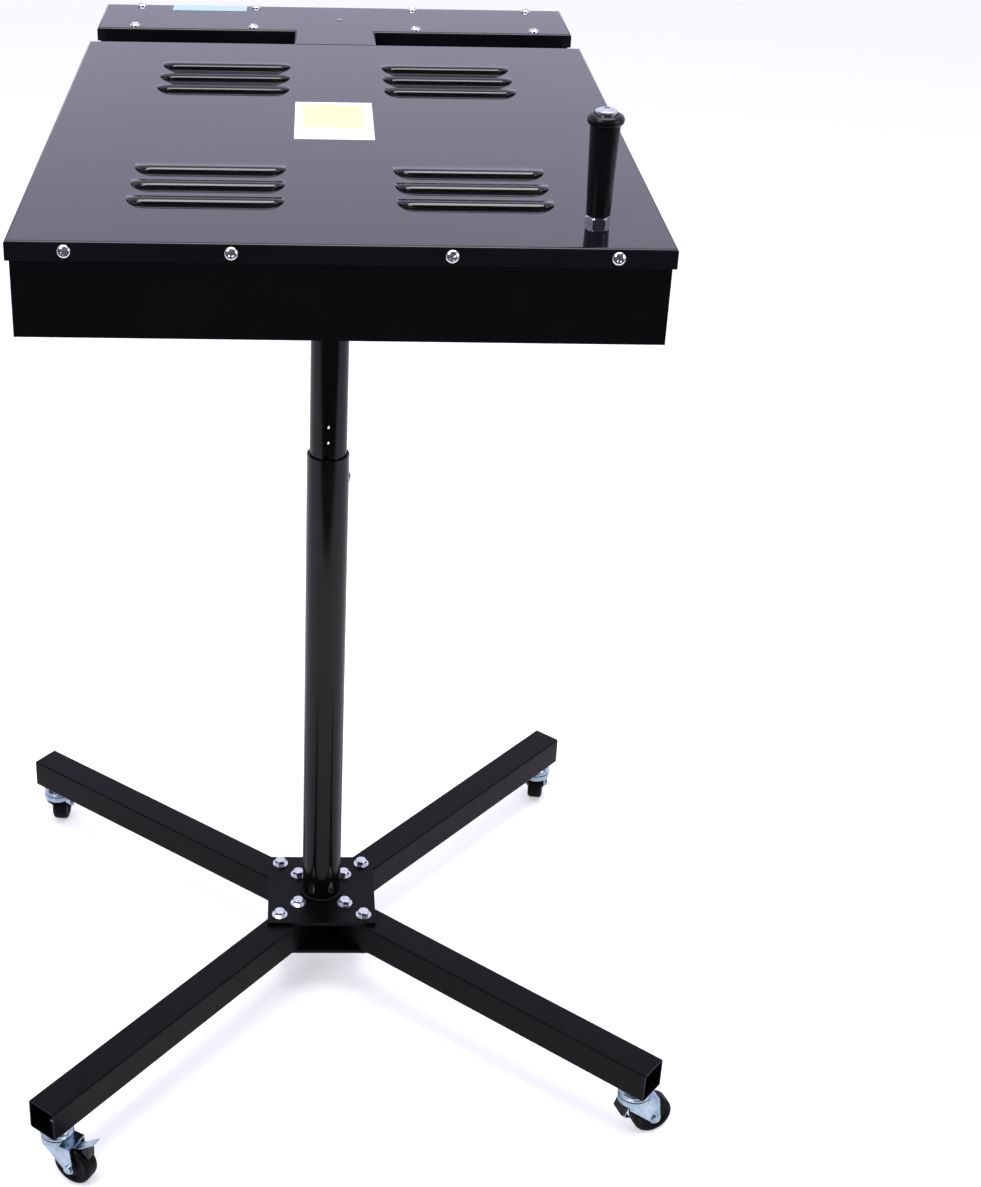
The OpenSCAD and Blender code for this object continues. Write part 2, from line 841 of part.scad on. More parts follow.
// Repeats its children at the screws in the cover's front and rear edges, with +Z out of the head
module at_cover_screws() {
  for (x = screw_x_shares * cover_w) {
    translate([x, cover_front, head_top - cover_lip / 2]) rotate([90, 0, 0]) children();
    translate([x, cover_rear, head_top - cover_lip / 2]) rotate([-90, 0, 0]) children();
  }
}

// Repeats its children at the screws in the top of the lid
module at_lid_screws() {
  for (x = lid_screw_x_shares * lid_w, y = [lid_front + lid_screw_front, lid_rear - lid_screw_rear])
    translate([x, y, head_top]) children();
}

module screw_hole() {
  translate([0, 0, -screw_len]) cylinder(d = screw_d + 2 * fit, h = screw_len + over);
}

// A pan-head screw with a cross recess
module pan_screw() {
  difference() {
    union() {
      rotate_extrude() intersection() {
        translate([0, -screw_round])
          round_rect(screw_head_d, 2 * screw_head_h + 2 * screw_round, screw_round);
        square([screw_head_d, screw_head_h]);
      }
      translate([0, 0, -screw_len]) cylinder(d = screw_d, h = screw_len + screw_round);
    }
    for (a = [0, 90]) rotate([0, 0, a + recess_turn])
      translate([-recess_l / 2, -recess_w / 2, screw_head_h - recess_deep])
        cube([recess_l, recess_w, screw_head_h]);
  }
}

module case_screws() {
  color(zinc) {
    at_cover_screws() pan_screw();
    at_lid_screws() pan_screw();
  }
}

// The inside of a louver's plan: straight at the back, rounded into the front at both ends
module louver_plan(inset) {
  reach = louver_d - inset;
  flat = louver_len - 2 * louver_d;
  intersection() {
    union() {
      square([flat, 2 * reach], center = true);
      for (x = [-1, 1]) translate([x * flat / 2, 0]) circle(reach);
    }
    translate([-louver_len / 2, -louver_d]) square([louver_len, louver_d]);
  }
}

// Everything under a slope that rises to the front from the louver's back edge
module louver_slope(drop) {
  translate([-louver_len / 2, 0, 0]) rotate([90, 0, 90]) linear_extrude(louver_len)
    polygon([[0, -sheet - over], [0, -drop], [-louver_d - over, louver_h * (1 + over / louver_d) - drop],
      [-louver_d - over, -sheet - over]]);
}

module louver_hood() {
  intersection() {
    linear_extrude(louver_h) louver_plan(0);
    louver_slope(0);
  }
}

module louver_cavity() {
  intersection() {
    translate([0, 0, -sheet - over]) linear_extrude(louver_h + sheet + over) union() {
      louver_plan(sheet);
      translate([louver_d - louver_len / 2, -louver_d - over])
        square([louver_len - 2 * louver_d, louver_d]);
    }
    union() {
      louver_slope(sheet);
      translate([-louver_len / 2, -louver_d + sheet, -sheet - over])
        cube([louver_len, louver_d - 2 * sheet, sheet]);
    }
    translate([-louver_len / 2, -louver_d - over, 0]) cube([louver_len, louver_d, louver_h]);
  }
}

module at_louvers() {
  for (x = [-1, 1], g = [-1, 1], i = [0:louver_rows - 1])
    translate([x * louver_x, cover_mid + g * louver_y + (i - (louver_rows - 1) / 2) * louver_pitch
      + louver_d - louver_shift, head_top]) children();
}

module top_cover() {
  color(black) difference() {
    union() {
      translate([0, cover_mid, head_top - cover_lip]) tray(cover_w, cover_d, cover_lip, cover_bend);
      at_louvers() louver_hood();
    }
    at_louvers() louver_cavity();
    at_louvers() translate([0, 0, -sheet - over]) linear_extrude(sheet + 2 * over) intersection() {
      louver_plan(sheet);
      translate([-louver_len / 2, sheet - louver_d]) square([louver_len, louver_d * louver_slot_share]);
    }
    at_cover_screws() screw_hole();
    translate([handle_x, handle_front, cover_under - over])
      cylinder(d = handle_bolt_d + 2 * fit, h = sheet + 2 * over);
  }
}

// Repeats its children at the bolts of the saddle, on the underside of the case
module at_saddle_bolts(rows = [-saddle_bolt_front, saddle_bolt_rear]) {
  for (x = [-saddle_bolt_x, saddle_bolt_x], y = rows) translate([x, y, case_base]) children();
}

module control_case() {
  w = box_x * 2;
  d = box_rear - box_front;
  h = cover_under - case_base;
  color(black) difference() {
    translate([-box_x, box_front, case_base]) cube([w, d, h]);
    translate([sheet - box_x, box_front + sheet, case_base + sheet])
      cube([w - 2 * sheet, d - 2 * sheet, h - 2 * sheet]);
    translate([case_flange - box_x, box_front + case_flange, cover_under - sheet - over])
      cube([w - 2 * case_flange, d - 2 * case_flange, sheet + 2 * over]);
    translate([0, box_front - over, wire_z]) rod_y(wire_hole_d, sheet + 2 * over);
    at_saddle_bolts([saddle_bolt_rear]) translate([0, 0, -over])
      cylinder(d = saddle_bolt_d + 2 * fit, h = sheet + 2 * over);
    at_lid_screws() screw_hole();
    translate([0, box_rear - sheet - over, control_z]) {
      translate([dial_x, 0, 0]) rod_y(stat_bush_d + 2 * fit, sheet + 2 * over);
      translate([lamp_x, 0, 0]) rod_y(lamp_d + 2 * fit, sheet + 2 * over);
      translate([-gland_x, 0, 0]) rod_y(gland_thread_d + 2 * fit, sheet + 2 * over);
      translate([bezel_rim - switch_x - switch_w / 2, 0, bezel_rim - switch_h / 2])
        cube([switch_w - 2 * bezel_rim, sheet + 2 * over, switch_h - 2 * bezel_rim]);
    }
  }
}

// The lid of the control box, in one piece with the tongue that covers the neck
module control_lid() {
  tongue = lid_front - cover_rear - gap;
  color(black) difference() {
    union() {
      translate([0, lid_front + lid_d / 2, head_top - lid_lip]) tray(lid_w, lid_d, lid_lip, cover_bend);
      difference() {
        translate([0, cover_rear + gap + tongue + 2 * sheet, head_top - lid_lip]) rotate([90, 0, 0])
          linear_extrude(tongue + 2 * sheet) arched(neck_w, lid_lip, cover_bend);
        translate([0, cover_rear + 2 * tongue, head_top - lid_lip - over]) rotate([90, 0, 0])
          linear_extrude(2 * tongue + over)
            arched(neck_w - 2 * sheet, lid_lip - sheet + over, cover_bend - sheet);
      }
    }
    translate([-neck_w / 2 + sheet, lid_front - over, head_top - lid_lip - over])
      cube([neck_w - 2 * sheet, sheet + cover_bend + over, lid_lip - sheet + over]);
    at_lid_screws() screw_hole();
    translate([rivet_x, rivet_y, cover_under - over])
      cylinder(d = rivet_d / 2 + 2 * fit, h = sheet + 2 * over);
  }
}

module lid_rivet() {
  color(zinc) translate([rivet_x, rivet_y, head_top]) {
    rotate_extrude() intersection() {
      translate([0, rivet_h - rivet_d]) circle(rivet_d);
      square([rivet_d / 2, rivet_h]);
    }
    translate([0, 0, -sheet - rivet_h]) cylinder(d = rivet_d / 2, h = sheet + rivet_h + rivet_h / 2);
  }
}

module blank_labels() {
  color("white") {
    translate([label_x - label_w / 2, cover_mid - label_d / 2 + (cover_d / 2 - label_back), head_top])
      cube([label_w, label_d, label_t]);
    translate([lid_label_x - lid_label_w / 2, lid_rear - lid_label_back - lid_label_d / 2, head_top])
      cube([lid_label_w, lid_label_d, label_t]);
  }
}

// A channel under the lid's tongue that carries the leads from box to case
module neck_duct() {
  color(black) translate([-duct_w / 2, case_rear, duct_base]) difference() {
    cube([duct_w, box_front - case_rear, cover_under - duct_base]);
    translate([sheet, -over, sheet])
      cube([duct_w - 2 * sheet, box_front - case_rear + 2 * over, cover_under - duct_base]);
    translate([-over, -over, head_top - cover_lip - gap - duct_base])
      cube([duct_w + 2 * over, cover_rear - case_rear + gap + over, cover_lip + gap]);
  }
}

module grommets() {
  color(rubber) for (wall = [case_rear - sheet, box_front])
    translate([0, wall, wire_z]) difference() {
      union() {
        translate([0, -grommet_t, 0]) rod_y(wire_hole_d + 2 * grommet_lip, grommet_t);
        rod_y(wire_hole_d, sheet);
        translate([0, sheet, 0]) rod_y(wire_hole_d + 2 * grommet_lip, grommet_t);
      }
      translate([0, -grommet_t - over, 0])
        rod_y(wire_hole_d - 2 * grommet_wall, sheet + 2 * grommet_t + 2 * over);
    }
}

// A plate under both boxes with the sleeve that turns on the sliding tube
module saddle() {
  color(black) difference() {
    union() {
      translate([0, 0, saddle_top - saddle_t]) linear_extrude(saddle_t)
        round_rect(saddle_w, 2 * saddle_half, saddle_corner);
      translate([0, 0, saddle_top - saddle_t - sleeve_len])
        cylinder(r = inner_r + fit + sleeve_wall, h = sleeve_len);
    }
    translate([0, 0, saddle_top - saddle_t - sleeve_len - over])
      cylinder(r = inner_r + fit, h = sleeve_len + over);
    translate([0, 0, saddle_top - saddle_t - over])
      cylinder(d = pivot_d + 2 * fit, h = saddle_t + 2 * over);
    at_saddle_bolts() translate([0, 0, -saddle_t - over])
      cylinder(d = saddle_bolt_d + 2 * fit, h = saddle_t + 2 * over);
  }
}

module saddle_bolts() {
  color(zinc) at_saddle_bolts() {
    translate([0, 0, -saddle_t]) mirror([0, 0, 1])
      hex_bolt(saddle_bolt_d, saddle_hex, saddle_head_h,
        saddle_t + sheet + saddle_nut_h + saddle_bolt_tail);
    translate([0, 0, sheet]) nut(saddle_hex, saddle_nut_h, saddle_bolt_d);
  }
}

module thrust_washer() {
  color(nylon) translate([0, 0, saddle_top - saddle_t - washer_t])
    bush(inner_r * pivot_washer_share, pivot_d / 2 + fit, washer_t);
}

module swivel_bolt() {
  color(zinc) translate([0, 0, saddle_top]) {
    hex_bolt(pivot_d, pivot_hex, pivot_head_h, saddle_t + washer_t + plug_t + pivot_nut_h + bolt_tail);
    translate([0, 0, inner_top - plug_t - saddle_top - fit]) mirror([0, 0, 1])
      nut(pivot_hex, pivot_nut_h, pivot_d);
  }
}

module insulation_board() {
  color([0.9, 0.88, 0.82]) difference() {
    translate([-board_x, board_front, board_base])
      cube([2 * board_x, heater_rear - board_front, board_t]);
    translate([handle_x, handle_front, board_base - over])
      cylinder(d = handle_nut_hex * nut_room_share, h = board_t + 2 * over);
  }
}

// The polished sheet behind the tubes, with a ridge between each two and turned-down edges
module reflector() {
  half = rail_x - rail_t;
  t = reflector_t;
  color([0.85, 0.86, 0.88]) {
    translate([-half, heater_front + gap, rail_top]) cube([2 * half, heater_rear - heater_front - gap, t]);
    for (i = [1:heater_count - 1]) translate([rail_flange - half, heater_y(i - 0.5), rail_top])
      rotate([90, 0, 90]) linear_extrude(2 * (half - rail_flange))
        polygon([[-ridge_half, 0], [0, -ridge_h], [ridge_half, 0], [ridge_half - 2 * t, 0],
          [0, 2 * t - ridge_h], [2 * t - ridge_half, 0]]);
    for (y = [heater_front + gap, heater_rear - t])
      translate([rail_flange - half, y, rail_top - skirt_h])
        cube([2 * (half - rail_flange), t, skirt_h + t]);
  }
}

function heater_y(i) = heater_mid + (i - (heater_count - 1) / 2) * heater_pitch;

module heater_tubes() {
  color([0.93, 0.95, 0.98, 0.6]) for (i = [0:heater_count - 1])
    translate([-heater_len / 2, heater_y(i), heater_z]) difference() {
      rod_x(heater_d, heater_len);
      translate([-over, 0, 0]) rod_x(heater_d - 2 * sheet, heater_len + 2 * over);
    }
}

module ceramic_ends() {
  color([0.93, 0.91, 0.86]) for (i = [0:heater_count - 1], s = [0, 1])
    mirror([s, 0, 0]) translate([heater_len / 2 - ceramic_grip, heater_y(i), heater_z]) difference() {
      rod_x(ceramic_d, ceramic_len);
      translate([-over, 0, 0]) rod_x(heater_d, ceramic_grip + over);
    }
}

module heater_rails() {
  len = case_rear - sheet - heater_front;
  color([0.7, 0.71, 0.73]) for (s = [0, 1]) mirror([s, 0, 0]) difference() {
    union() {
      translate([rail_x - rail_t / 2, heater_front, rail_base]) cube([rail_t, len, rail_top - rail_base]);
      translate([rail_x + rail_t / 2 - rail_flange, heater_front, rail_top - rail_t])
        cube([rail_flange, len, rail_t]);
    }
    for (i = [0:heater_count - 1]) translate([rail_x - rail_t, heater_y(i), heater_z])
      rod_x(ceramic_d + 2 * fit, 2 * rail_t);
    translate([rail_x - rail_t, lead_run, wire_z]) rod_x(lead_d * lead_hole_share, 2 * rail_t);
  }
}

// The guard's wires from front to back, which rest on the case's lower flanges
module wire_guard() {
  color(zinc) for (i = [0:guard_long - 1])
    translate([(i * 2 / (guard_long - 1) - 1) * (guard_x - guard_d), guard_front, guard_rest + guard_d / 2])
      rod_y(guard_d, guard_rear - guard_front);
}

// The guard's wires from side to side, which lie across the others
module guard_cross_wires() {
  step = (guard_rear - guard_front - 2 * guard_d) / (guard_cross - 1);
  z = guard_rest + 3 / 2 * guard_d + fit;
  color(zinc) for (i = [0:guard_cross - 1])
    translate([-guard_x, guard_front + guard_d + i * step, z]) rod_x(guard_d, 2 * guard_x);
}

module terminal_block() {
  color([0.88, 0.86, 0.8]) translate([0, block_y, case_base + sheet]) {
    translate([-block_w / 2, -block_d / 2, 0]) cube([block_w, block_d, block_h]);
    for (i = [0:block_posts - 1], y = [-block_d / 4, block_d / 4])
      translate([(i - (block_posts - 1) / 2) * block_w / block_posts, y, block_h])
        cylinder(d = block_screw_d, h = block_screw_h);
  }
}

// A lead through a list of points, round at every bend
module lead(points, d) {
  for (i = [0:len(points) - 2]) {
    step = points[i + 1] - points[i];
    flat = norm([step[0], step[1]]);
    translate(points[i]) rotate([0, atan2(flat, step[2]), atan2(step[1], step[0])])
      cylinder(d = d, h = norm(step));
    if (i > 0) translate(points[i]) sphere(d = d * lead_bend_share);
  }
}

module lead_wires() {
  block_top = case_base + sheet + block_h + block_screw_h;
  post_x = block_w / block_posts / 2;
  color([0.7, 0.1, 0.1]) for (s = [-1, 1]) {
    lead([[s * post_x, block_y - block_d / 4, block_top], [s * post_x, block_y - block_d / 4, wire_z],
      [s * lead_x, box_front, wire_z], [s * lead_x, lead_run, wire_z], [s * lead_side, lead_run, wire_z],
      [s * lead_side, heater_y(heater_count - 1) + lead_d, heater_z],
      [s * lead_side, heater_y(0), heater_z]], lead_d);
  }
}

// Places its children on the outer face of the control box's rear wall, with +Z out of the box
module on_rear(x) {
  translate([x, box_rear, control_z]) rotate([-90, 0, 0]) children();
}

module thermostat() {
  color([0.85, 0.84, 0.8]) on_rear(dial_x) difference() {
    union() {
      translate([-stat_w / 2, -stat_w / 2, -sheet - stat_d]) cube([stat_w, stat_w, stat_d]);
      translate([0, 0, -sheet - over]) cylinder(d = stat_bush_d, h = sheet + stat_bush_len + over);
    }
    translate([0, 0, stat_bush_len - stat_bore]) cylinder(d = shaft_d + 2 * fit, h = stat_bore + over);
  }
}

// The dial with its shaft, fluted round the edge and grooved where it points
module temperature_dial() {
  base = stat_bush_len + dial_gap;
  color(rubber) on_rear(dial_x) difference() {
    union() {
      translate([0, 0, stat_bush_len - stat_bore + gap])
        cylinder(d = shaft_d, h = stat_bore + dial_gap + dial_len / 2);
      translate([0, 0, base]) cylinder(d = dial_d, h = dial_flare);
      translate([0, 0, base]) cylinder(d = dial_d * dial_share, h = dial_len);
    }
    for (i = [0:dial_flutes - 1]) rotate([0, 0, (i + 0.5) * 360 / dial_flutes])
      translate([dial_d * dial_share / 2, 0, base + dial_flare]) cylinder(d = dial_flute_d, h = dial_len);
    rotate([0, 0, dial_mark_turn])
      translate([dial_mark_w, -dial_mark_w / 2, base + dial_len - dial_mark_deep])
      cube([dial_d, dial_mark_w, dial_len]);
  }
}

module switch_body() {
  inner_w = switch_w - 2 * bezel_rim;
  inner_h = switch_h - 2 * bezel_rim;
  color(rubber) on_rear(-switch_x) difference() {
    union() {
      linear_extrude(bezel_t) round_rect(switch_w, switch_h, bezel_rim / 2);
      translate([-inner_w / 2 + fit, -inner_h / 2 + fit, -switch_body_d])
        cube([inner_w - 2 * fit, inner_h - 2 * fit, switch_body_d + bezel_t / 2]);
    }
    difference() {
      translate([-inner_w / 2 + sheet, -inner_h / 2 + sheet, -rocker_deep - rocker_rise])
        cube([inner_w - 2 * sheet, inner_h - 2 * sheet, rocker_deep + rocker_rise + bezel_t + over]);
      translate([-inner_w / 2, 0, 0]) rod_x(rocker_pin_d, inner_w);
    }
  }
}

// The rocker, pressed at its lower end when off
module switch_rocker() {
  w = switch_w - 2 * bezel_rim - 2 * sheet - 2 * rocker_gap;
  h = switch_h - 2 * bezel_rim - 2 * sheet - 4 * rocker_gap;
  color([0.6, 0.05, 0.04]) on_rear(-switch_x) rotate([-rocker_tilt, 0, 0]) translate([-w / 2, 0, 0])
    rotate([90, 0, 90]) difference() {
      linear_extrude(w)
        polygon([[-h / 2, bezel_t + rocker_rise], [0, bezel_t], [h / 2, bezel_t + rocker_rise],
        [h / 2, 0], [rocker_deep / 2, -rocker_deep], [-rocker_deep / 2, -rocker_deep], [-h / 2, 0]]);
      translate([0, 0, -over]) cylinder(d = rocker_pin_d + 2 * fit, h = w + 2 * over);
    }
}

module pilot_lamp() {
  color([0.85, 0.15, 0.1]) on_rear(lamp_x) {
    cylinder(d = lamp_d + 2 * lamp_rim, h = lamp_rim_t);
    translate([0, 0, -sheet - lamp_back]) cylinder(d = lamp_d, h = sheet + lamp_back + lamp_rim_t);
    translate([0, 0, lamp_rim_t]) rotate_extrude() intersection() {
      translate([0, lamp_lens - lamp_d]) circle(lamp_d);
      square([lamp_d / 2, lamp_lens]);
    }
  }
}

// The inlet for the supply cord, with its lock nut inside the box
module cable_gland() {
  len = sheet + gland_nut_t + gland_tail;
  color(rubber) on_rear(-gland_x) difference() {
    union() {
      cylinder(d = gland_hex / cos(30), h = gland_hex_t, $fn = 6);
      translate([0, 0, gland_hex_t]) cylinder(d = gland_dome_d, h = gland_dome / 2);
      translate([0, 0, gland_hex_t + gland_dome / 2])
        cylinder(d1 = gland_dome_d, d2 = gland_mouth_d, h = gland_dome / 2);
      translate([0, 0, -len]) cylinder(d = gland_thread_d, h = len + over);
      translate([0, 0, -sheet - gland_nut_t]) cylinder(d = gland_hex / cos(30), h = gland_nut_t, $fn = 6);
    }
    translate([0, 0, -len - over]) cylinder(d = gland_bore, h = len + gland_hex_t + gland_dome + 2 * over);
  }
}

module handle_bolt() {
  tail = cover_under - handle_nut_h - handle_tail;
  color(zinc) translate([handle_x, handle_front, 0]) difference() {
    union() {
      translate([0, 0, tail]) cylinder(d = handle_bolt_d, h = handle_head_base - tail + handle_head_h / 2);
      translate([0, 0, handle_head_base]) rotate_extrude() intersection() {
        translate([0, handle_head_h - handle_head_d]) circle(handle_head_d);
        square([handle_head_d / 2, handle_head_h]);
      }
    }
    for (a = [0, 90]) rotate([0, 0, a + head_turn])
      translate([-recess_l / 2, -recess_w / 2, handle_head_base + handle_head_h - recess_deep])
        cube([recess_l, recess_w, handle_head_h]);
  }
}

module handle_nuts() {
  color(zinc) translate([handle_x, handle_front, 0]) {
    translate([0, 0, head_top]) nut(handle_nut_hex, handle_nut_h, handle_bolt_d);
    translate([0, 0, cover_under - handle_nut_h]) nut(handle_nut_hex, handle_nut_h, handle_bolt_d);
  }
}

// A tapered grip with a rounded bead round its cupped top
module handle_grip() {
  bead_base = grip_top - bead_h;
  color(rubber) translate([handle_x, handle_front, 0]) difference() {
    union() {
      translate([0, 0, grip_base]) cylinder(d1 = grip_foot_d, d2 = grip_top_d, h = grip_len - bead_h / 2);
      translate([0, 0, bead_base + bead_h / 2]) rotate_extrude() intersection() {
        round_rect(grip_bead_d, bead_h, bead_h * bead_round_share);
        translate([0, -bead_h]) square([grip_bead_d, 2 * bead_h]);
      }
    }
    translate([0, 0, grip_base - over]) cylinder(d = handle_bolt_d + 2 * fit, h = grip_len + 2 * over);
    translate([0, 0, grip_top - cup_deep]) cylinder(d = cup_d, h = cup_deep + over);
  }
}

hub_top_plate();
hub_bottom_plate();
leg(0);  // leg_front_left
leg(1);  // leg_front_right
leg(2);  // leg_rear_right
leg(3);  // leg_rear_left
hub_bolts();
hub_nuts();
outer_tube();
post_weld();
guide_bush();
caster_stems();
stem_nuts();
lock_screw();
lock_knob();
inner_tube();
slide_bush();
tube_plug();
heater_case();
top_cover();
control_case();
control_lid();
neck_duct();
saddle();
saddle_bolts();
thrust_washer();
swivel_bolt();
case_screws();
lid_rivet();
blank_labels();
insulation_board();
reflector();
heater_tubes();
ceramic_ends();
heater_rails();
wire_guard();
guard_cross_wires();
terminal_block();
lead_wires();
grommets();
switch_body();
switch_rocker();
thermostat();
temperature_dial();
pilot_lamp();
cable_gland();
handle_bolt();
handle_nuts();
handle_grip();
fork(0);  // fork_front_left
fork(1);  // fork_front_right
fork(2);  // fork_rear_right
fork(3);  // fork_rear_left
wheel(0);  // wheel_front_left
wheel(1);  // wheel_front_right
wheel(2);  // wheel_rear_right
wheel(3);  // wheel_rear_left
brake_front_left();
brake_front_right();
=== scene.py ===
"""The looks of a screen printing flash dryer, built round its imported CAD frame.

Metres, with +Z up and the origin on the floor under the post. Sizes written in millimetres are
multiplied by MM. Places come from the frame's boxes and joints.
"""

import json
import math

import bmesh
import bpy
from mathutils import Matrix, Vector


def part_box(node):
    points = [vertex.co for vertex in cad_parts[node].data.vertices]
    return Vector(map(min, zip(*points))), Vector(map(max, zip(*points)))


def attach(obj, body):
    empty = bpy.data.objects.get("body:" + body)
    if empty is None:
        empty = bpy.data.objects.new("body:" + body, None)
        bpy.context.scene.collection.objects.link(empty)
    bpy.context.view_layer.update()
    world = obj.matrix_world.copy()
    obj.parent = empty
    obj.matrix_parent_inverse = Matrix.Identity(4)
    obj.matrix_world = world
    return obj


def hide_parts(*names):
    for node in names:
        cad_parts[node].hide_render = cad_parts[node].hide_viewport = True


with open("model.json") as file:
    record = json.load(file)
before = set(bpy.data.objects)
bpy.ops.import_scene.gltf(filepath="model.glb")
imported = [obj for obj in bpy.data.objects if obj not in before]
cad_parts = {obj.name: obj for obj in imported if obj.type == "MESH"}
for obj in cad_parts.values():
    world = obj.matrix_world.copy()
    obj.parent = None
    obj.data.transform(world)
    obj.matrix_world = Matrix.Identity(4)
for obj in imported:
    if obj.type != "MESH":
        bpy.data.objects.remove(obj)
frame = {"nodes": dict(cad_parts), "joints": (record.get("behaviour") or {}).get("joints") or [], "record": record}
nodes = frame["nodes"]
joints = {joint["name"]: joint for joint in frame["joints"]}
bodies = frame["record"]["behaviour"]["bodies"]
body_of = {node: body for body, members in bodies.items() for node in members}
slot_of = {part["node"]: part["material_slot"] for part in frame["record"]["subparts"]}
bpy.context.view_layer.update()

MM = 0.001
PI = math.pi
CORNERS = ("front_left", "front_right", "rear_right", "rear_left")


# Shader helpers


def linear(hex_colour):
    """An sRGB hex colour such as "#1f1f25" as linear RGBA."""
    channels = [int(hex_colour[i : i + 2], 16) / 255 for i in (1, 3, 5)]
    return (*[c / 12.92 if c <= 0.04045 else ((c + 0.055) / 1.055) ** 2.4 for c in channels], 1.0)


def add(tree, kind, sockets=None, **settings):
    """Adds a node with its properties.

    sockets maps each input to a value, or to the output that feeds it.
    """
    node = tree.nodes.new(kind)
    for name, value in settings.items():
        setattr(node, name, value)
    for name, value in (sockets or {}).items():
        if isinstance(value, bpy.types.NodeSocket):
            tree.links.new(value, node.inputs[name])
        else:
            node.inputs[name].default_value = value
    return node


def start_material(name):
    """A new node material, its tree, its shader and the Object coordinates that its patterns read."""
    material = bpy.data.materials.new(name)
    material.use_nodes = True
    tree = material.node_tree
    tree.nodes.clear()
    shader = add(tree, "ShaderNodeBsdfPrincipled")
    add(tree, "ShaderNodeOutputMaterial", {"Surface": shader.outputs["BSDF"]})
    place = add(tree, "ShaderNodeTexCoord").outputs["Object"]
    return material, tree, shader, place


def surface(name, colours, roughness, patch_mm, grain_mm, grain_depth_mm, stretch=(1, 1, 1), wave_mm=0,
            wave_depth_mm=0, **constants):
    """A finish with patches of tone and gloss, a fine grain, and a slow wave of the surface.

    colours and roughness are the two ends between which the patches range. stretch scales the grain
    along X, Y and Z, so a small number draws it out into brushed lines. constants are set on the shader.
    """
    material, tree, shader, place = start_material(name)
    patches = add(tree, "ShaderNodeTexNoise", {
        "Vector": place, "Scale": 1 / (patch_mm * MM), "Detail": 4.0, "Roughness": 0.62})
    spread = add(tree, "ShaderNodeMapRange", {
        "Value": patches.outputs["Fac"], "From Min": 0.32, "From Max": 0.68})
    tone = add(tree, "ShaderNodeMix", {
        "Factor": spread.outputs["Result"], "A": linear(colours[0]), "B": linear(colours[1])},
        data_type="RGBA")
    tree.links.new(tone.outputs["Result"], shader.inputs["Base Color"])
    gloss = add(tree, "ShaderNodeMapRange", {
        "Value": patches.outputs["Fac"], "From Min": 0.3, "From Max": 0.7,
        "To Min": roughness[0], "To Max": roughness[1]})
    tree.links.new(gloss.outputs["Result"], shader.inputs["Roughness"])
    drawn = add(tree, "ShaderNodeMapping", {"Vector": place, "Scale": stretch})
    grain = add(tree, "ShaderNodeTexNoise", {
        "Vector": drawn.outputs["Vector"], "Scale": 1 / (grain_mm * MM), "Detail": 2.0})
    relief = add(tree, "ShaderNodeBump", {
        "Height": grain.outputs["Fac"], "Distance": grain_depth_mm * MM})
    if wave_mm:
        wave = add(tree, "ShaderNodeTexNoise", {
            "Vector": place, "Scale": 1 / (wave_mm * MM), "Detail": 1.0})
        relief = add(tree, "ShaderNodeBump", {
            "Height": wave.outputs["Fac"], "Distance": wave_depth_mm * MM,
            "Normal": relief.outputs["Normal"]})
    tree.links.new(relief.outputs["Normal"], shader.inputs["Normal"])
    for socket, value in constants.items():
        shader.inputs[socket.replace("_", " ")].default_value = value
    return material


# Finishes

# Stoved gloss enamel on sheet steel: a black mirror with faint orange peel and a slow waviness
gloss_enamel = surface("gloss black enamel", ("#0a090d", "#0f0e14"), (0.035, 0.075), 90, 2.2, 0.012,
                       wave_mm=160, wave_depth_mm=0.35)
# The same enamel on the case's walls, thinner and a little less polished
wall_enamel = surface("semi-gloss black enamel", ("#050506", "#08080a"), (0.10, 0.17), 70, 1.8, 0.015,
                      wave_mm=140, wave_depth_mm=0.3, Specular_IOR_Level=0.4)
# Powder coat on square tube and plate: satin, with a fine pebbled skin
powder_coat = surface("satin black powder coat", ("#050506", "#09090b"), (0.30, 0.44), 45, 0.9, 0.03,
                      Specular_IOR_Level=0.1)
# Sprayed paint on drawn round tube, glossier than the legs
tube_paint = surface("gloss black tube paint", ("#060607", "#0a0a0b"), (0.10, 0.18), 60, 1.3, 0.012,
                     Specular_IOR_Level=0.22)
# Bright zinc plate on screws and nuts, with a little cloudiness
bright_zinc = surface("bright zinc plate", ("#cfd2d8", "#eceef2"), (0.09, 0.20), 4, 0.5, 0.004,
                      Metallic=1.0)
# Blue-passivated zinc on pressed caster parts
blue_zinc = surface("blue-passivated zinc", ("#8a9fb2", "#c2d3e0"), (0.14, 0.26), 16, 0.6, 0.006,
                    Metallic=1.0)
# Moulded wheel rubber: dull, with flow marks
wheel_rubber = surface("moulded dark rubber", ("#040405", "#08080a"), (0.36, 0.55), 8, 0.7, 0.02,
                       Specular_IOR_Level=0.1)
# Moulded black thermoplastic, satin
black_plastic = surface("moulded black plastic", ("#0a0a0d", "#101014"), (0.22, 0.32), 14, 0.8, 0.012,
                        Specular_IOR_Level=0.2)
# Natural nylon: waxy and off-white
nylon = surface("natural nylon", ("#d9d4c4", "#e8e4d8"), (0.34, 0.46), 12, 0.9, 0.008)
# Plain aluminium of the blind rivet
rivet_aluminium = surface("plain aluminium", ("#b9bac0", "#d4d4d8"), (0.22, 0.38), 3, 0.4, 0.006,
                          Metallic=1.0)
# Red polycarbonate rocker, glossy and slightly deep
rocker_red = surface("red polycarbonate", ("#8f120c", "#a8190f"), (0.10, 0.18), 8, 1.0, 0.004,
                     Coat_Weight=0.4)
# Amber-red lamp lens
lamp_red = surface("amber lens plastic", ("#b3260f", "#c93716"), (0.05, 0.12), 5, 1.0, 0.004,
                   Coat_Weight=0.6)
# Pressed metal shell of the thermostat
pressed_shell = surface("pressed tinned steel", ("#a9abb0", "#c2c4c8"), (0.28, 0.42), 7, 0.6, 0.01,
                        Metallic=1.0)
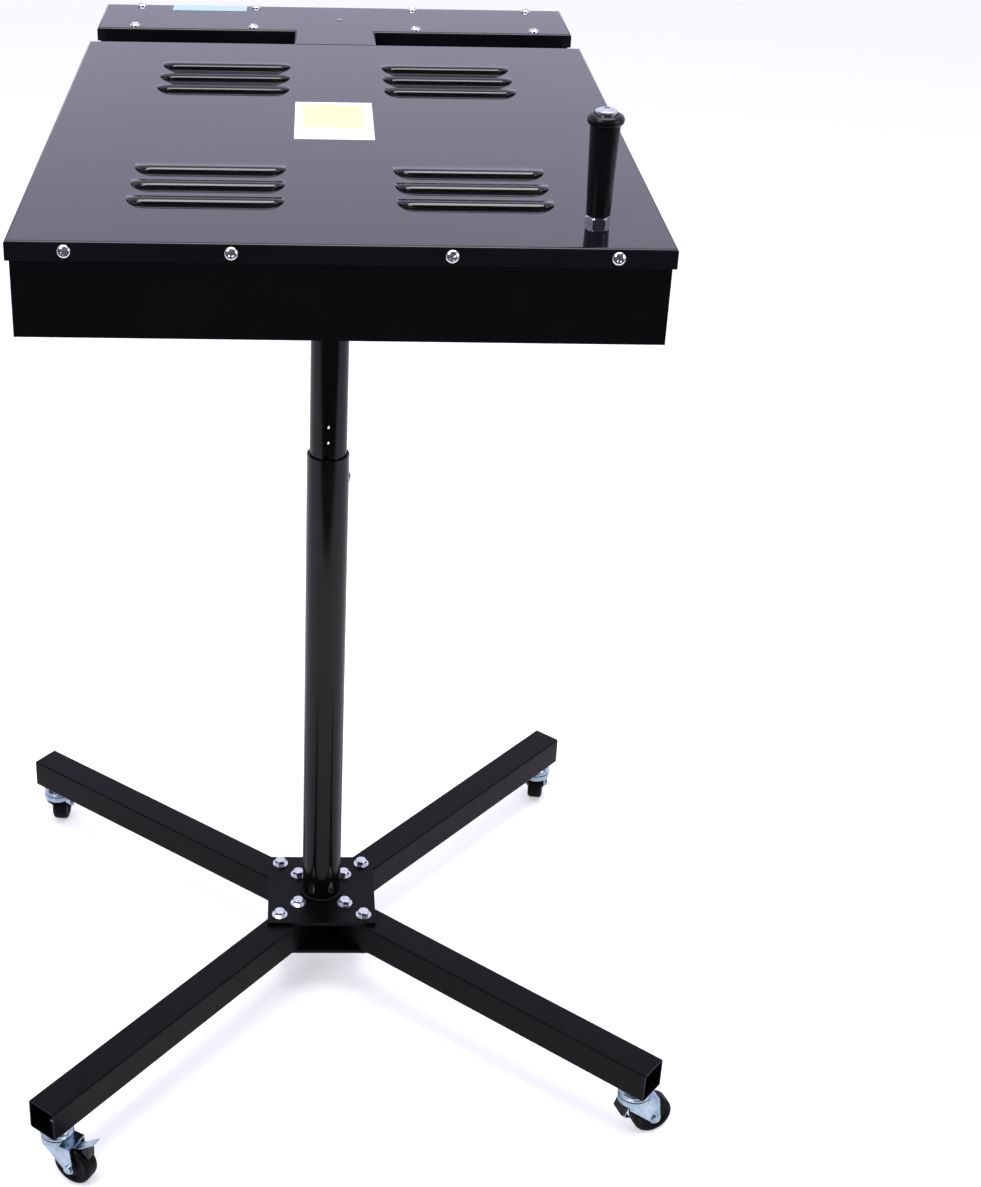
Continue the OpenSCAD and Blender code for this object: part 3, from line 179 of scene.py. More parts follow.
# Cream urea plastic of the terminal block
cream_plastic = surface("cream moulded plastic", ("#cfc8b2", "#ddd7c4"), (0.30, 0.42), 10, 0.8, 0.01)
# Silicone-coated glass sleeving on the heater's leads
lead_sleeve = surface("silicone sleeving", ("#7d1b14", "#94251b"), (0.42, 0.58), 6, 0.9, 0.08)
# Soft black rubber of the grommets
soft_rubber = surface("soft black rubber", ("#111113", "#18181a"), (0.5, 0.65), 8, 0.7, 0.02)
# Ceramic fibre board: chalky, with matted fibres
fibre_board = surface("ceramic fibre board", ("#cfc9b8", "#e6e1d2"), (0.85, 0.95), 11, 1.6, 0.35,
                      stretch=(1, 0.35, 1))
# Polished aluminium sheet with rolling lines along X
polished_sheet = surface("polished aluminium sheet", ("#c8cacc", "#dfe0e2"), (0.10, 0.2), 60, 1.2, 0.004,
                         stretch=(0.02, 1, 1), wave_mm=70, wave_depth_mm=0.2, Metallic=1.0)
# Galvanised strip of the heater's rails
galvanised = surface("galvanised steel strip", ("#8b8f94", "#b4b8bc"), (0.3, 0.48), 7, 0.8, 0.012,
                     Metallic=1.0)
# Clear fused quartz of the heater tubes
quartz = surface("fused quartz", ("#f2f6fa", "#ffffff"), (0.02, 0.05), 30, 1.2, 0.004, IOR=1.46,
                 Transmission_Weight=0.92)
# Unglazed white ceramic ends
ceramic = surface("unglazed ceramic", ("#d8d0bd", "#ece6d8"), (0.6, 0.78), 7, 0.5, 0.03)
# Nickel-plated wire of the guard
guard_wire = surface("nickel-plated wire", ("#a5a6aa", "#c4c5c8"), (0.22, 0.38), 12, 0.7, 0.008,
                     Metallic=1.0)
# Resistance wire, dulled by heat
heat_wire = surface("oxidised resistance wire", ("#4f4a45", "#6d655d"), (0.42, 0.6), 4, 0.5, 0.01,
                    Metallic=1.0)
# White print on the dial
dial_print = surface("white print", ("#dcdcdc", "#ececec"), (0.4, 0.5), 5, 0.5, 0.004)


# Sides of the yellow panel: X in the frame, and Y from the front edge of the cover's label
PANEL_X = (-31 * MM, 23 * MM)
PANEL_Y = (36 * MM, 113 * MM)


def label_film():
    """Blank glossy label film: white with a plain yellow panel on the cover, pale blue on the lid."""
    material, tree, shader, place = start_material("blank label film")
    label_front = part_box("blank_labels")[0].y
    cover_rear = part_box("top_cover")[1].y
    axes = add(tree, "ShaderNodeSeparateXYZ", {"Vector": place})

    def compare(axis, limit, operation):
        return add(tree, "ShaderNodeMath", {0: axes.outputs[axis], 1: limit}, operation=operation).outputs[0]

    panel_sides = (("X", *PANEL_X), ("Y", label_front + PANEL_Y[0], label_front + PANEL_Y[1]))
    inside = None
    for axis, start, end in panel_sides:
        for limit, operation in ((start, "GREATER_THAN"), (end, "LESS_THAN")):
            side = compare(axis, limit, operation)
            inside = side if inside is None else add(tree, "ShaderNodeMath", {0: inside, 1: side},
                                                     operation="MULTIPLY").outputs[0]
    on_lid = compare("Y", cover_rear, "GREATER_THAN")
    fading = add(tree, "ShaderNodeTexNoise", {"Vector": place, "Scale": 1 / (14 * MM), "Detail": 3.0})

    def mix(factor, first, second):
        return add(tree, "ShaderNodeMix", {"Factor": factor, "A": first, "B": second},
                   data_type="RGBA").outputs["Result"]

    white = mix(fading.outputs["Fac"], linear("#c3c7d2"), linear("#cfd2da"))
    on_cover = mix(inside, white, linear("#d8c988"))
    colour = mix(on_lid, on_cover, linear("#8fa9bd"))
    tree.links.new(colour, shader.inputs["Base Color"])
    gloss = add(tree, "ShaderNodeMapRange", {"Value": fading.outputs["Fac"], "To Min": 0.16, "To Max": 0.3})
    tree.links.new(gloss.outputs["Result"], shader.inputs["Roughness"])
    return material


blank_film = label_film()

FINISH = {
    "stand_paint": powder_coat, "post_paint": tube_paint, "case_paint": wall_enamel,
    "cover_enamel": gloss_enamel, "zinc_fasteners": bright_zinc, "rivet_metal": rivet_aluminium,
    "zinc_caster": blue_zinc, "wheel_tread": wheel_rubber, "nylon": nylon, "knob_plastic": black_plastic,
    "grip_plastic": black_plastic, "switch_plastic": black_plastic, "rocker_red": rocker_red,
    "lamp_lens": lamp_red, "thermostat_shell": pressed_shell, "terminal_plastic": cream_plastic,
    "lead_sleeve": lead_sleeve, "grommet_rubber": soft_rubber, "ceramic_fibre": fibre_board,
    "polished_aluminium": polished_sheet, "rail_steel": galvanised, "quartz": quartz, "ceramic": ceramic,
    "guard_wire": guard_wire, "blank_label": blank_film,
}

for name, node in nodes.items():
    node.data.materials.clear()
    node.data.materials.append(FINISH[slot_of[name]])


# Mesh helpers

WELD = MM / 1000
SHARP = math.radians(30)


def piece(bm, name, stands_for=(), body=None, slot=None, material=None, smooth=40):
    """Makes bm a piece of the object. With stands_for it takes that CAD node's body, slot and place."""
    names = [stands_for] if isinstance(stands_for, str) else list(stands_for)
    body = body or body_of[names[0]]
    slot = slot or slot_of[names[0]]
    mesh = bpy.data.meshes.new(name)
    bm.to_mesh(mesh)
    bm.free()
    mesh.polygons.foreach_set("use_smooth", [True] * len(mesh.polygons))
    mesh.set_sharp_from_angle(angle=math.radians(smooth))
    mesh.materials.append(material or FINISH[slot])
    obj = bpy.data.objects.new(name, mesh)
    bpy.context.scene.collection.objects.link(obj)
    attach(obj, body)
    if names:
        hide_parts(*names)
    return obj


def flat_faces(obj):
    """Lets the large faces set the shading, so that flats stay flat beside rounded edges."""
    normals = obj.modifiers.new("weighted normals", "WEIGHTED_NORMAL")
    normals.keep_sharp = True
    return obj


def round_edges(bm, edges, width):
    bmesh.ops.bevel(bm, geom=edges, offset=width, offset_type="OFFSET", affect="EDGES", segments=2,
                    profile=0.5, material=-1, clamp_overlap=True)


def eased(name, width):
    """A copy of a CAD node whose sharp edges are rounded, which stands for the node."""
    bm = bmesh.new()
    bm.from_mesh(nodes[name].data)
    bmesh.ops.remove_doubles(bm, verts=bm.verts, dist=WELD)
    bmesh.ops.dissolve_limit(bm, angle_limit=math.radians(1), verts=bm.verts, edges=bm.edges)
    round_edges(bm, [e for e in bm.edges if e.is_manifold and e.calc_face_angle(0) > SHARP], width * MM)
    return flat_faces(piece(bm, name + "_eased", name))


def lathe(bm, outline, place, steps):
    """Spins an outline of (radius, height) in millimetres round +Z and puts it at place.

    Tagged vertices belong to what was made in bm before, and stay as they are.
    """
    verts = [bm.verts.new((r * MM, 0, z * MM)) for r, z in outline]
    edges = [bm.edges.new(pair) for pair in zip(verts, verts[1:])]
    bmesh.ops.spin(bm, geom=verts + edges, cent=(0, 0, 0), axis=(0, 0, 1), angle=2 * PI, steps=steps,
                   use_merge=True)
    bmesh.ops.remove_doubles(bm, verts=[v for v in bm.verts if not v.tag], dist=WELD)
    made = [v for v in bm.verts if not v.tag]
    bmesh.ops.transform(bm, matrix=place, verts=made)
    bmesh.ops.recalc_face_normals(bm, faces=list({f for v in made for f in v.link_faces}))
    for v in made:
        v.tag = True
    return made


# The top cover with its pressed louvers, and the lid of the control box

LOUVER_LENGTH = 126.5 * MM
LOUVER_DEPTH = 24 * MM
LOUVER_RISE = 4.6 * MM
LOUVER_END = 16 * MM
LOUVER_PITCH = 43 * MM
LOUVER_MARGIN = (LOUVER_PITCH - LOUVER_DEPTH) / 2
LOUVER_ROWS = (-1, 0, 1)
GROUP_X = 108 * MM
GROUP_Y = 171.5 * MM
GROUP_SHIFT = -9.5 * MM
SHEET = 1.2 * MM
BEND = 2.5 * MM
BEND_STEPS = 5
NECK = 85 * MM
LID_FRONT = 16 * MM
LID_LIP = 14 * MM
SHEET_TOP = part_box("blank_labels")[0].z


def hood_profile():
    """(distance behind the lip, share of the rise) from the curled lip to the hood's back edge."""
    lip = [(0.0, 0.34), (0.1, 0.43), (0.5, 0.56), (1.2, 0.69), (2.1, 0.82), (3.2, 0.93), (4.6, 1.0)]
    top = lip[-1][0]
    steps = 9
    depth = LOUVER_DEPTH / MM
    slope = []
    for i in range(1, steps + 1):
        t = i / steps
        slope.append((top + (depth - top) * t, 1 - 0.85 * t - 0.15 * (3 * t**2 - 2 * t**3)))
    return [(d * MM, h) for d, h in lip + slope]


def louver(bm, x_mid, y_lip):
    """One hood pressed up from a patch of flat sheet that is slit along the hood's front."""
    profile = hood_profile()
    columns, last = 34, len(profile) + 1
    made = bmesh.ops.create_grid(bm, x_segments=columns + 2, y_segments=last, size=1)["verts"]
    half = LOUVER_LENGTH / 2
    grid = {}
    for vert in made:
        column = round((vert.co.x + 1) / 2 * (columns + 2))
        row = round((vert.co.y + 1) / 2 * last)
        grid[column, row] = vert
    for (column, row), vert in grid.items():
        if column in (0, columns + 2):
            x, lift, back = math.copysign(half + LOUVER_MARGIN, column - 1), 0.0, LOUVER_END
        else:
            x = half * math.sin(PI / 2 * (2 * (column - 1) / columns - 1))
            bend = max(0.0, (abs(x) - (half - LOUVER_END)) / LOUVER_END)
            lift = math.sqrt(max(0.0, 1 - bend**2))
            back = LOUVER_END * (1 - lift)
        if row == 0:
            depth, height = -LOUVER_MARGIN, 0.0
        elif row == last:
            depth, height = LOUVER_DEPTH + LOUVER_MARGIN, 0.0
        else:
            share, height = profile[row - 1]
            depth = back + share * (LOUVER_DEPTH - back) / LOUVER_DEPTH
        vert.co = (x_mid + x, y_lip + depth, SHEET_TOP + height * lift * LOUVER_RISE)
    slit = [bm.edges.get((grid[c, 1], grid[c + 1, 1])) for c in range(1, columns + 1)]
    bmesh.ops.split_edges(bm, edges=slit)
    front = {f for c in range(0, columns + 2) for f in grid[c, 0].link_faces}
    for face in front:
        for vert in face.verts:
            vert.co.z = SHEET_TOP


def sheet_pan(name, outline, open_sides, drop, fill):
    """A folded sheet: a flat that fill makes inside the outline, bent edges and turned-down lips.

    outline is a list of (x, y), anticlockwise, of the outer faces of the lips. open_sides are the numbers of
    the sides that have no lip.
    """
    bm = bmesh.new()
    count = len(outline)
    outward = []
    for i in range(count):
        a, b = Vector(outline[i]), Vector(outline[(i + 1) % count])
        run = (b - a).normalized()
        outward.append(Vector((0, 0)) if i in open_sides else Vector((run.y, -run.x)))
    corner_out = [outward[i - 1] + outward[i] for i in range(count)]
    flat = [Vector(outline[i]) - corner_out[i] * BEND for i in range(count)]
    ring = [bm.verts.new((p.x, p.y, SHEET_TOP)) for p in flat]
    sides = [bm.edges.new((ring[i], ring[(i + 1) % count])) for i in range(count)]
    fill(bm, sides)
    edges = [e for i, e in enumerate(sides) if i not in open_sides]
    push = {v: corner_out[i] for i, v in enumerate(ring)}
    for step in range(BEND_STEPS + 1):
        before, after = [PI / 2 * s / BEND_STEPS for s in (step, step + 1)]
        if step < BEND_STEPS:
            move = BEND * (math.sin(after) - math.sin(before))
            fall = BEND * (math.cos(before) - math.cos(after))
        else:
            move, fall = 0.0, drop - BEND
        made = bmesh.ops.extrude_edge_only(bm, edges=edges)["geom"]
        new_verts = [g for g in made if isinstance(g, bmesh.types.BMVert)]
        new_edges = [g for g in made if isinstance(g, bmesh.types.BMEdge)]
        fresh = {}
        for vert in new_verts:
            origin = next(e.other_vert(vert) for e in vert.link_edges if e.other_vert(vert) in push)
            fresh[vert] = push[origin]
            vert.co += Vector((*(push[origin] * move), -fall))
        push = fresh
        edges = [e for e in new_edges if e.verts[0] in fresh and e.verts[1] in fresh]
    bmesh.ops.recalc_face_normals(bm, faces=bm.faces)
    if sum(f.normal.z * f.calc_area() for f in bm.faces) < 0:
        bmesh.ops.reverse_faces(bm, faces=bm.faces)
    obj = piece(bm, name + "_folded", name)
    wall = obj.modifiers.new("sheet", "SOLIDIFY")
    wall.thickness = SHEET
    wall.offset = -1
    wall.use_quality_normals = True
    solid = bpy.data.meshes.new_from_object(obj.evaluated_get(bpy.context.evaluated_depsgraph_get()))
    obj.modifiers.clear()
    obj.data = solid
    solid.polygons.foreach_set("use_smooth", [True] * len(solid.polygons))
    solid.set_sharp_from_angle(angle=math.radians(40))
    return flat_faces(obj)


def cover():
    """The cover, with two groups of louvers on each side."""
    low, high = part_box("top_cover")
    middle = (low.y + high.y) / 2

    def lip_y(group, row):
        return middle + GROUP_SHIFT + group * GROUP_Y + row * LOUVER_PITCH

    ends = [y for group in (-1, 1) for y in (lip_y(group, LOUVER_ROWS[0]) - LOUVER_MARGIN,
                                             lip_y(group, LOUVER_ROWS[-1]) + LOUVER_DEPTH + LOUVER_MARGIN)]

    def on_rim(vert):
        """True on the outer edge of a group of louvers."""
        x = abs(abs(vert.co.x) - GROUP_X)
        at_side = abs(x - (LOUVER_LENGTH / 2 + LOUVER_MARGIN)) < MM / 100
        at_end = any(abs(vert.co.y - y) < MM / 100 for y in ends)
        return abs(vert.co.z - SHEET_TOP) < WELD and (at_side or at_end)

    def fill(bm, sides):
        for x in (-GROUP_X, GROUP_X):
            for group in (-1, 1):
                for row in LOUVER_ROWS:
                    louver(bm, x, lip_y(group, row))
        flat_rims = [v for v in bm.verts if abs(v.co.z - SHEET_TOP) < WELD
                     and any(e.is_boundary for e in v.link_edges)]
        bmesh.ops.remove_doubles(bm, verts=flat_rims, dist=WELD)
        rims = [e for e in bm.edges if e.is_boundary and all(on_rim(v) for v in e.verts)]
        bmesh.ops.triangle_fill(bm, edges=sides + rims, use_beauty=True, normal=(0, 0, 1))

    outline = [(low.x, low.y), (high.x, low.y), (high.x, high.y), (low.x, high.y)]
    sheet_pan("top_cover", outline, (), SHEET_TOP - low.z, fill)


def lid():
    """The lid of the control box, whose tongue runs over the neck to the cover."""
    low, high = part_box("control_lid")
    half, front = NECK / 2, LID_FRONT

    def fill(bm, sides):
        bmesh.ops.triangle_fill(bm, edges=sides, use_beauty=True, normal=(0, 0, 1))

    outline = [(-half, low.y), (half, low.y), (half, front), (high.x, front), (high.x, high.y),
               (low.x, high.y), (low.x, front), (-half, front)]
    sheet_pan("control_lid", outline, (0,), LID_LIP, fill)


cover()
lid()


# Rounded copies of the pressed, turned and moulded parts, with the radius of their edges in millimetres

EDGE_RADII = {
    "hub_top_plate": 0.9, "hub_bottom_plate": 0.9, "hub_bolts": 0.35, "hub_nuts": 0.35, "outer_tube": 0.4,
    "inner_tube": 0.4, "lock_screw": 0.4, "lock_knob": 0.9, "stem_nuts": 0.4,
    "heater_case": 0.3, "control_case": 0.3, "neck_duct": 0.25, "saddle": 0.7, "saddle_bolts": 0.35,
    "swivel_bolt": 0.35, "thrust_washer": 0.3, "tube_plug": 0.5, "insulation_board": 1.2,
    "ceramic_ends": 0.5, "heater_rails": 0.2, "terminal_block": 0.5, "switch_body": 0.5,
    "switch_rocker": 0.4, "thermostat": 0.4, "pilot_lamp": 0.4, "cable_gland": 0.4,
    "handle_bolt": 0.35, "handle_nuts": 0.35,
}
EDGE_RADII.update({"leg_" + corner: 0.4 for corner in CORNERS})
EDGE_RADII.update({"fork_" + corner: 0.35 for corner in CORNERS})

for name, radius in EDGE_RADII.items():
    eased(name, radius)


# Wheels, screws, weld, filaments and dial


def along(place, axis):
    """A matrix that puts +Z of a lathed piece along axis at place."""
    return Matrix.Translation(place) @ Vector(axis).to_track_quat("Z", "Y").to_matrix().to_4x4()


def wheels():
    """Each wheel: hub, dished web, rim, and tread with its parting line."""
    half = [(3.1, 12.6), (8.2, 12.6), (8.8, 12.1), (9.4, 9.2), (10.6, 8.4), (16.0, 8.2), (17.2, 8.8),
            (17.9, 10.2), (18.6, 10.5), (20.6, 10.5), (21.6, 10.3), (23.4, 9.5), (24.4, 8.2), (24.8, 6.6),
            (24.95, 3.0)]
    parting = [(25.0, 0.4), (24.8, 0.0), (25.0, -0.4)]
    outline = half + parting + [(r, -z) for r, z in reversed(half)] + half[:1]
    for corner in CORNERS:
        roll = joints["roll_" + corner]
        bm = bmesh.new()
        lathe(bm, outline, along(roll["pos_m"], roll["axis"]), 72)
        piece(bm, "wheel_" + corner + "_moulded", "wheel_" + corner, smooth=50)


# The pressed cross as shares of the head's radius, its depth, and the height of the rim
CROSS_REACH = 0.58
CROSS_HALF_WIDTH = 0.17
CROSS_DEPTH = 1.0 * MM
RIM = 0.3 * MM


def screw_head(bm, place, radius, height, turn):
    """A domed head with a pressed cross, on a short rim."""
    rings, steps = 14, 40
    centre = bm.verts.new(place @ Vector((0, 0, height - CROSS_DEPTH)))
    rows = []
    for ring in range(1, rings + 1):
        lean = PI / 2 * 0.98 * ring / rings
        row = []
        for step in range(steps):
            around = 2 * PI * step / steps + turn
            r, z = radius * math.sin(lean), RIM + (height - RIM) * math.cos(lean)
            x, y = r * math.cos(around - turn), r * math.sin(around - turn)
            arm = min(max(abs(x), abs(y)) / (CROSS_REACH * radius), 3.0)
            slot = min(abs(x), abs(y)) / (CROSS_HALF_WIDTH * radius)
            depth = max(0.0, 1 - arm**6) * max(0.0, 1 - slot**4)
            z -= depth * CROSS_DEPTH
            row.append(bm.verts.new(place @ Vector((r * math.cos(around), r * math.sin(around), z))))
        rows.append(row)
    foot = []
    for step in range(steps):
        around = 2 * PI * step / steps + turn
        foot.append(bm.verts.new(place @ Vector((radius * math.cos(around), radius * math.sin(around), 0))))
    rows.append(foot)
    for i in range(steps):
        j = (i + 1) % steps
        bm.faces.new((centre, rows[0][i], rows[0][j]))
        for inner, outer in zip(rows, rows[1:]):
            bm.faces.new((inner[i], outer[i], outer[j], inner[j]))
    bm.faces.new(list(reversed(foot)))
    for vert in bm.verts:
        vert.tag = True


def islands(name):
    """The lowest and highest corners of each separate solid of a CAD node."""
    bm = bmesh.new()
    bm.from_mesh(nodes[name].data)
    bmesh.ops.remove_doubles(bm, verts=bm.verts, dist=WELD)
    left, found = set(bm.verts), []
    while left:
        stack, group = [left.pop()], []
        while stack:
            vert = stack.pop()
            group.append(vert.co.copy())
            for edge in vert.link_edges:
                other = edge.other_vert(vert)
                if other in left:
                    left.discard(other)
                    stack.append(other)
        found.append([Vector([pick(c[k] for c in group) for k in range(3)]) for pick in (min, max)])
    bm.free()
    return sorted(found, key=lambda box: tuple(round(c, 4) for c in box[0]))


def screws():
    """Each screw of cover and lid, with its shank; the head points out of the sheet."""
    cover_low, cover_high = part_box("top_cover")
    bm = bmesh.new()
    for number, (low, high) in enumerate(islands("case_screws")):
        middle, size = (low + high) / 2, high - low
        if size.z > size.x + MM / 10 or abs(size.x - size.y) < MM / 10:
            face, out, rise = Vector((middle.x, middle.y, SHEET_TOP)), (0, 0, 1), high.z - SHEET_TOP
        elif middle.y < (cover_low.y + cover_high.y) / 2:
            face, out, rise = Vector((middle.x, cover_low.y, middle.z)), (0, -1, 0), cover_low.y - low.y
        else:
            face, out, rise = Vector((middle.x, cover_high.y, middle.z)), (0, 1, 0), high.y - cover_high.y
        place = along(face, out)
        screw_head(bm, place, size.x / 2, rise, number * 1.3)
        lathe(bm, [(0, -7), (1.2, -6.6), (1.9, -6), (1.9, -0.05), (0, -0.05)], place, 20)
    piece(bm, "case_screws_domed", "case_screws", smooth=38)


def weld():
    """The bead round the foot of the post, laid in ripples of slightly uneven pitch."""
    low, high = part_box("post_weld")
    radius, leg = (high.x - low.x) / 2, high.z - low.z
    tube = radius - leg
    steps, rows, ripples = 288, 9, 42
    bm = bmesh.new()
    grid = []
    for step in range(steps):
        around = 2 * PI * step / steps
        ripple = 0.5 + 0.5 * math.sin(around * ripples + 0.7 * math.sin(around * 5))
        row = []
        for k in range(rows):
            lean = PI / 2 * k / (rows - 1)
            bulge = leg * (0.80 + 0.16 * ripple * math.sin(2 * lean))
            r, z = tube + bulge * math.cos(lean) ** 1.15, bulge * math.sin(lean) ** 1.15
            row.append(bm.verts.new((r * math.cos(around), r * math.sin(around), low.z + z)))
        row.append(bm.verts.new((tube * math.cos(around), tube * math.sin(around), low.z)))
        grid.append(row)
    for a, b in zip(grid, grid[1:] + grid[:1]):
        for k in range(rows + 1):
            m = (k + 1) % (rows + 1)
            bm.faces.new((a[k], b[k], b[m], a[m]))
    bmesh.ops.recalc_face_normals(bm, faces=bm.faces)
    piece(bm, "post_weld_rippled", "post_weld", smooth=60)


def coil(bm, start, end, radius, pitch, wire):
    """A helical wire from start to end along X, closed at both ends."""
    turns = round((end.x - start.x) / pitch)
    per_turn, sides = 10, 4
    rings = []
    for i in range(turns * per_turn + 1):
        angle = 2 * PI * i / per_turn
        centre = start + Vector(((end.x - start.x) * i / (turns * per_turn), radius * math.cos(angle),
                                 radius * math.sin(angle)))
        outward = Vector((0, math.cos(angle), math.sin(angle)))
        rings.append([bm.verts.new(centre + wire * (outward * math.cos(2 * PI * k / sides)
                                                    + Vector((1, 0, 0)) * math.sin(2 * PI * k / sides)))
                      for k in range(sides)])
    for a, b in zip(rings, rings[1:]):
        for k in range(sides):
            bm.faces.new((a[k], b[k], b[(k + 1) % sides], a[(k + 1) % sides]))
    bm.faces.new(list(reversed(rings[0])))
    bm.faces.new(rings[-1])


def filaments():
    """The coiled wire inside each heater tube, which ends short of the ceramic."""
    end_gap, radius, pitch, wire = 24 * MM, 2.9 * MM, 8 * MM, 0.45 * MM
    bm = bmesh.new()
    for low, high in islands("heater_tubes"):
        middle = (low + high) / 2
        reach = Vector(((high.x - low.x) / 2 - end_gap, 0, 0))
        coil(bm, middle - reach, middle + reach, radius, pitch, wire)
    bmesh.ops.recalc_face_normals(bm, faces=bm.faces)
    piece(bm, "heater_filaments", (), "head", "rail_steel", heat_wire, 60)


def dial():
    """The temperature knob with its skirt, fluted grip, white pointer and a ring of generic ticks."""
    low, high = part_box("temperature_dial")
    hinge = Vector(joints["dial_turn"]["pos_m"])
    radius, depth = (high.x - low.x) / 2 / MM, (high.y - low.y) / MM
    place = along(Vector((hinge.x, low.y, hinge.z)), (0, 1, 0))
    bm = bmesh.new()
    steps, flutes, flute_share = 120, 18, 0.055
    outline = [(0, 0.3), (radius - 0.8, 0.3), (radius - 0.1, 0.9), (radius - 0.1, 2.2), (radius - 0.9, 3.0),
               (radius * 0.80, 3.3), (radius * 0.76, 4.6), (radius * 0.72, depth - 1.4),
               (radius * 0.69, depth - 0.4), (radius * 0.64, depth - 0.05), (radius * 0.3, depth - 0.25),
               (0, depth - 0.25)]
    for vert in lathe(bm, outline, place, steps):
        local = place.inverted() @ vert.co
        reach = math.hypot(local.x, local.y)
        if radius * 0.66 * MM < reach < radius * 0.79 * MM and local.z > 3.6 * MM:
            flute = 1 - flute_share * max(0.0, math.cos(flutes * math.atan2(local.y, local.x))) ** 2
            vert.co = place @ Vector((local.x * flute, local.y * flute, local.z))
    piece(bm, "temperature_dial_moulded", "temperature_dial", smooth=35)
    marks = bmesh.new()

    def bar(angle, start, end, width, rise, base):
        """A printed bar from radius start to end, in millimetres."""
        middle = Matrix.Translation(((start + end) / 2 * MM, 0, base * MM))
        made = bmesh.ops.create_cube(marks, size=1)["verts"]
        bmesh.ops.scale(marks, vec=((end - start) * MM, width * MM, rise * MM), verts=made)
        bmesh.ops.transform(marks, matrix=place @ Matrix.Rotation(angle, 4, "Z") @ middle, verts=made)

    bar(PI / 2, radius * 0.28, radius * 0.62, 1.0, 0.16, depth - 0.18)
    ticks, sweep = 11, 2 * PI * 0.75
    for tick in range(ticks):
        angle = PI / 2 + (tick - (ticks - 1) / 2) * sweep / (ticks - 1)
        bar(angle, radius * 0.86, radius * 0.94, 0.5, 0.12, 3.06)
    piece(marks, "dial_marks", (), "dial", "knob_plastic", dial_print, 30)


def caster_place(corner):
    """The place of a caster's own frame: X behind the swivel, Y along the axle, Z up from the floor."""
    swivel, roll = joints["swivel_" + corner], joints["roll_" + corner]
    centre = Vector((swivel["pos_m"][0], swivel["pos_m"][1], 0))
    across = Vector(roll["axis"]).normalized()
    upward = Vector((0, 0, 1))
    return Matrix.Translation(centre) @ Matrix((across.cross(upward), across, upward)).transposed().to_4x4()


def pin(bm, x, z, radius, half, place):
    """A pivot pin along Y, with eased ends."""
    ease = 0.3
    outline = [(0, -half), (radius - ease, -half), (radius, ease - half), (radius, half - ease),
               (radius - ease, half), (0, half)]
    lathe(bm, outline, place @ along(Vector((x * MM, 0, z * MM)), (0, 1, 0)), 20)
    for vert in bm.verts:
        vert.tag = True


def prism(bm, outline, half, place, width):
    """An outline of (x, z) in millimetres, drawn out from -half to half along Y, with rounded edges."""
    sides = [[bm.verts.new(place @ Vector((x * MM, y * MM, z * MM))) for x, z in outline]
             for y in (-half, half)]
    faces = [bm.faces.new(sides[0]), bm.faces.new(list(reversed(sides[1])))]
    for i in range(len(outline)):
        j = (i + 1) % len(outline)
        faces.append(bm.faces.new((sides[0][j], sides[0][i], sides[1][i], sides[1][j])))
    bmesh.ops.recalc_face_normals(bm, faces=faces)
    corners = [e for e in {e for f in faces for e in f.edges} if e.calc_face_angle(0) > 0.5]
    round_edges(bm, corners, width * MM)


# The brakes, in millimetres in a caster's own frame

PIN_RADIUS = 1.2
PIN_HALF = 15.0
BRAKE_SHEET = 1.2
TRAIL_PIN = (24.5, 51.85)
LEAD_PIN = (-9.0, 50.2)
PEDAL_TILT = 36
LEVER_TILT = 20
AXLE = (24.5, 25)
# The left shoe: the radius of its underside round the axle, how far that runs, its front, back and foot
SHOE_RADIUS = 29.0
SHOE_RUN = 7.4
SHOE_FRONT = 39.0
SHOE_BACK = 48.0
SHOE_FOOT = 43.6


def brake_pieces(corner, metal_name, metal, shoe):
    """The brake's zinc sheet, which stands for its node, and its black shoe on the same body."""
    flat_faces(piece(metal, "brake_" + corner + "_" + metal_name, "brake_" + corner))
    flat_faces(piece(shoe, "brake_" + corner + "_shoe", (), "pedal_" + corner, "zinc_caster", black_plastic))


def pedal():
    """The left brake: a pedal that rises behind the wheel, and a shoe whose underside follows the tread."""
    place = caster_place("front_left")
    bm = bmesh.new()
    pin(bm, *TRAIL_PIN, PIN_RADIUS, PIN_HALF, place)
    tilt, length = math.radians(PEDAL_TILT), 31.4
    foot = Vector((31.0, 51.6))
    run = Vector((math.cos(tilt), math.sin(tilt)))
    rise = Vector((-math.sin(tilt), math.cos(tilt))) * BRAKE_SHEET
    lower = [(24.5, 51.6), tuple(foot), tuple(foot + run * length)]
    upper = [tuple(foot + run * length + rise), (30.7, 52.8), (24.5, 52.8)]
    prism(bm, lower + upper, 6.5, place, 0.25)
    shoe = bmesh.new()
    tread, steps = [], 8
    for step in range(steps + 1):
        x = SHOE_FRONT + SHOE_RUN * step / steps
        over_tread = AXLE[1] + math.sqrt(max(0.0, SHOE_RADIUS**2 - (x - AXLE[0]) ** 2))
        tread.append((x, max(SHOE_FOOT, over_tread)))
    outline = tread + [(SHOE_BACK, SHOE_FOOT), (SHOE_BACK, 63.6), (SHOE_FRONT, 57.2)]
    prism(shoe, outline, 6.0, place, 0.5)
    brake_pieces("front_left", "pedal", bm, shoe)


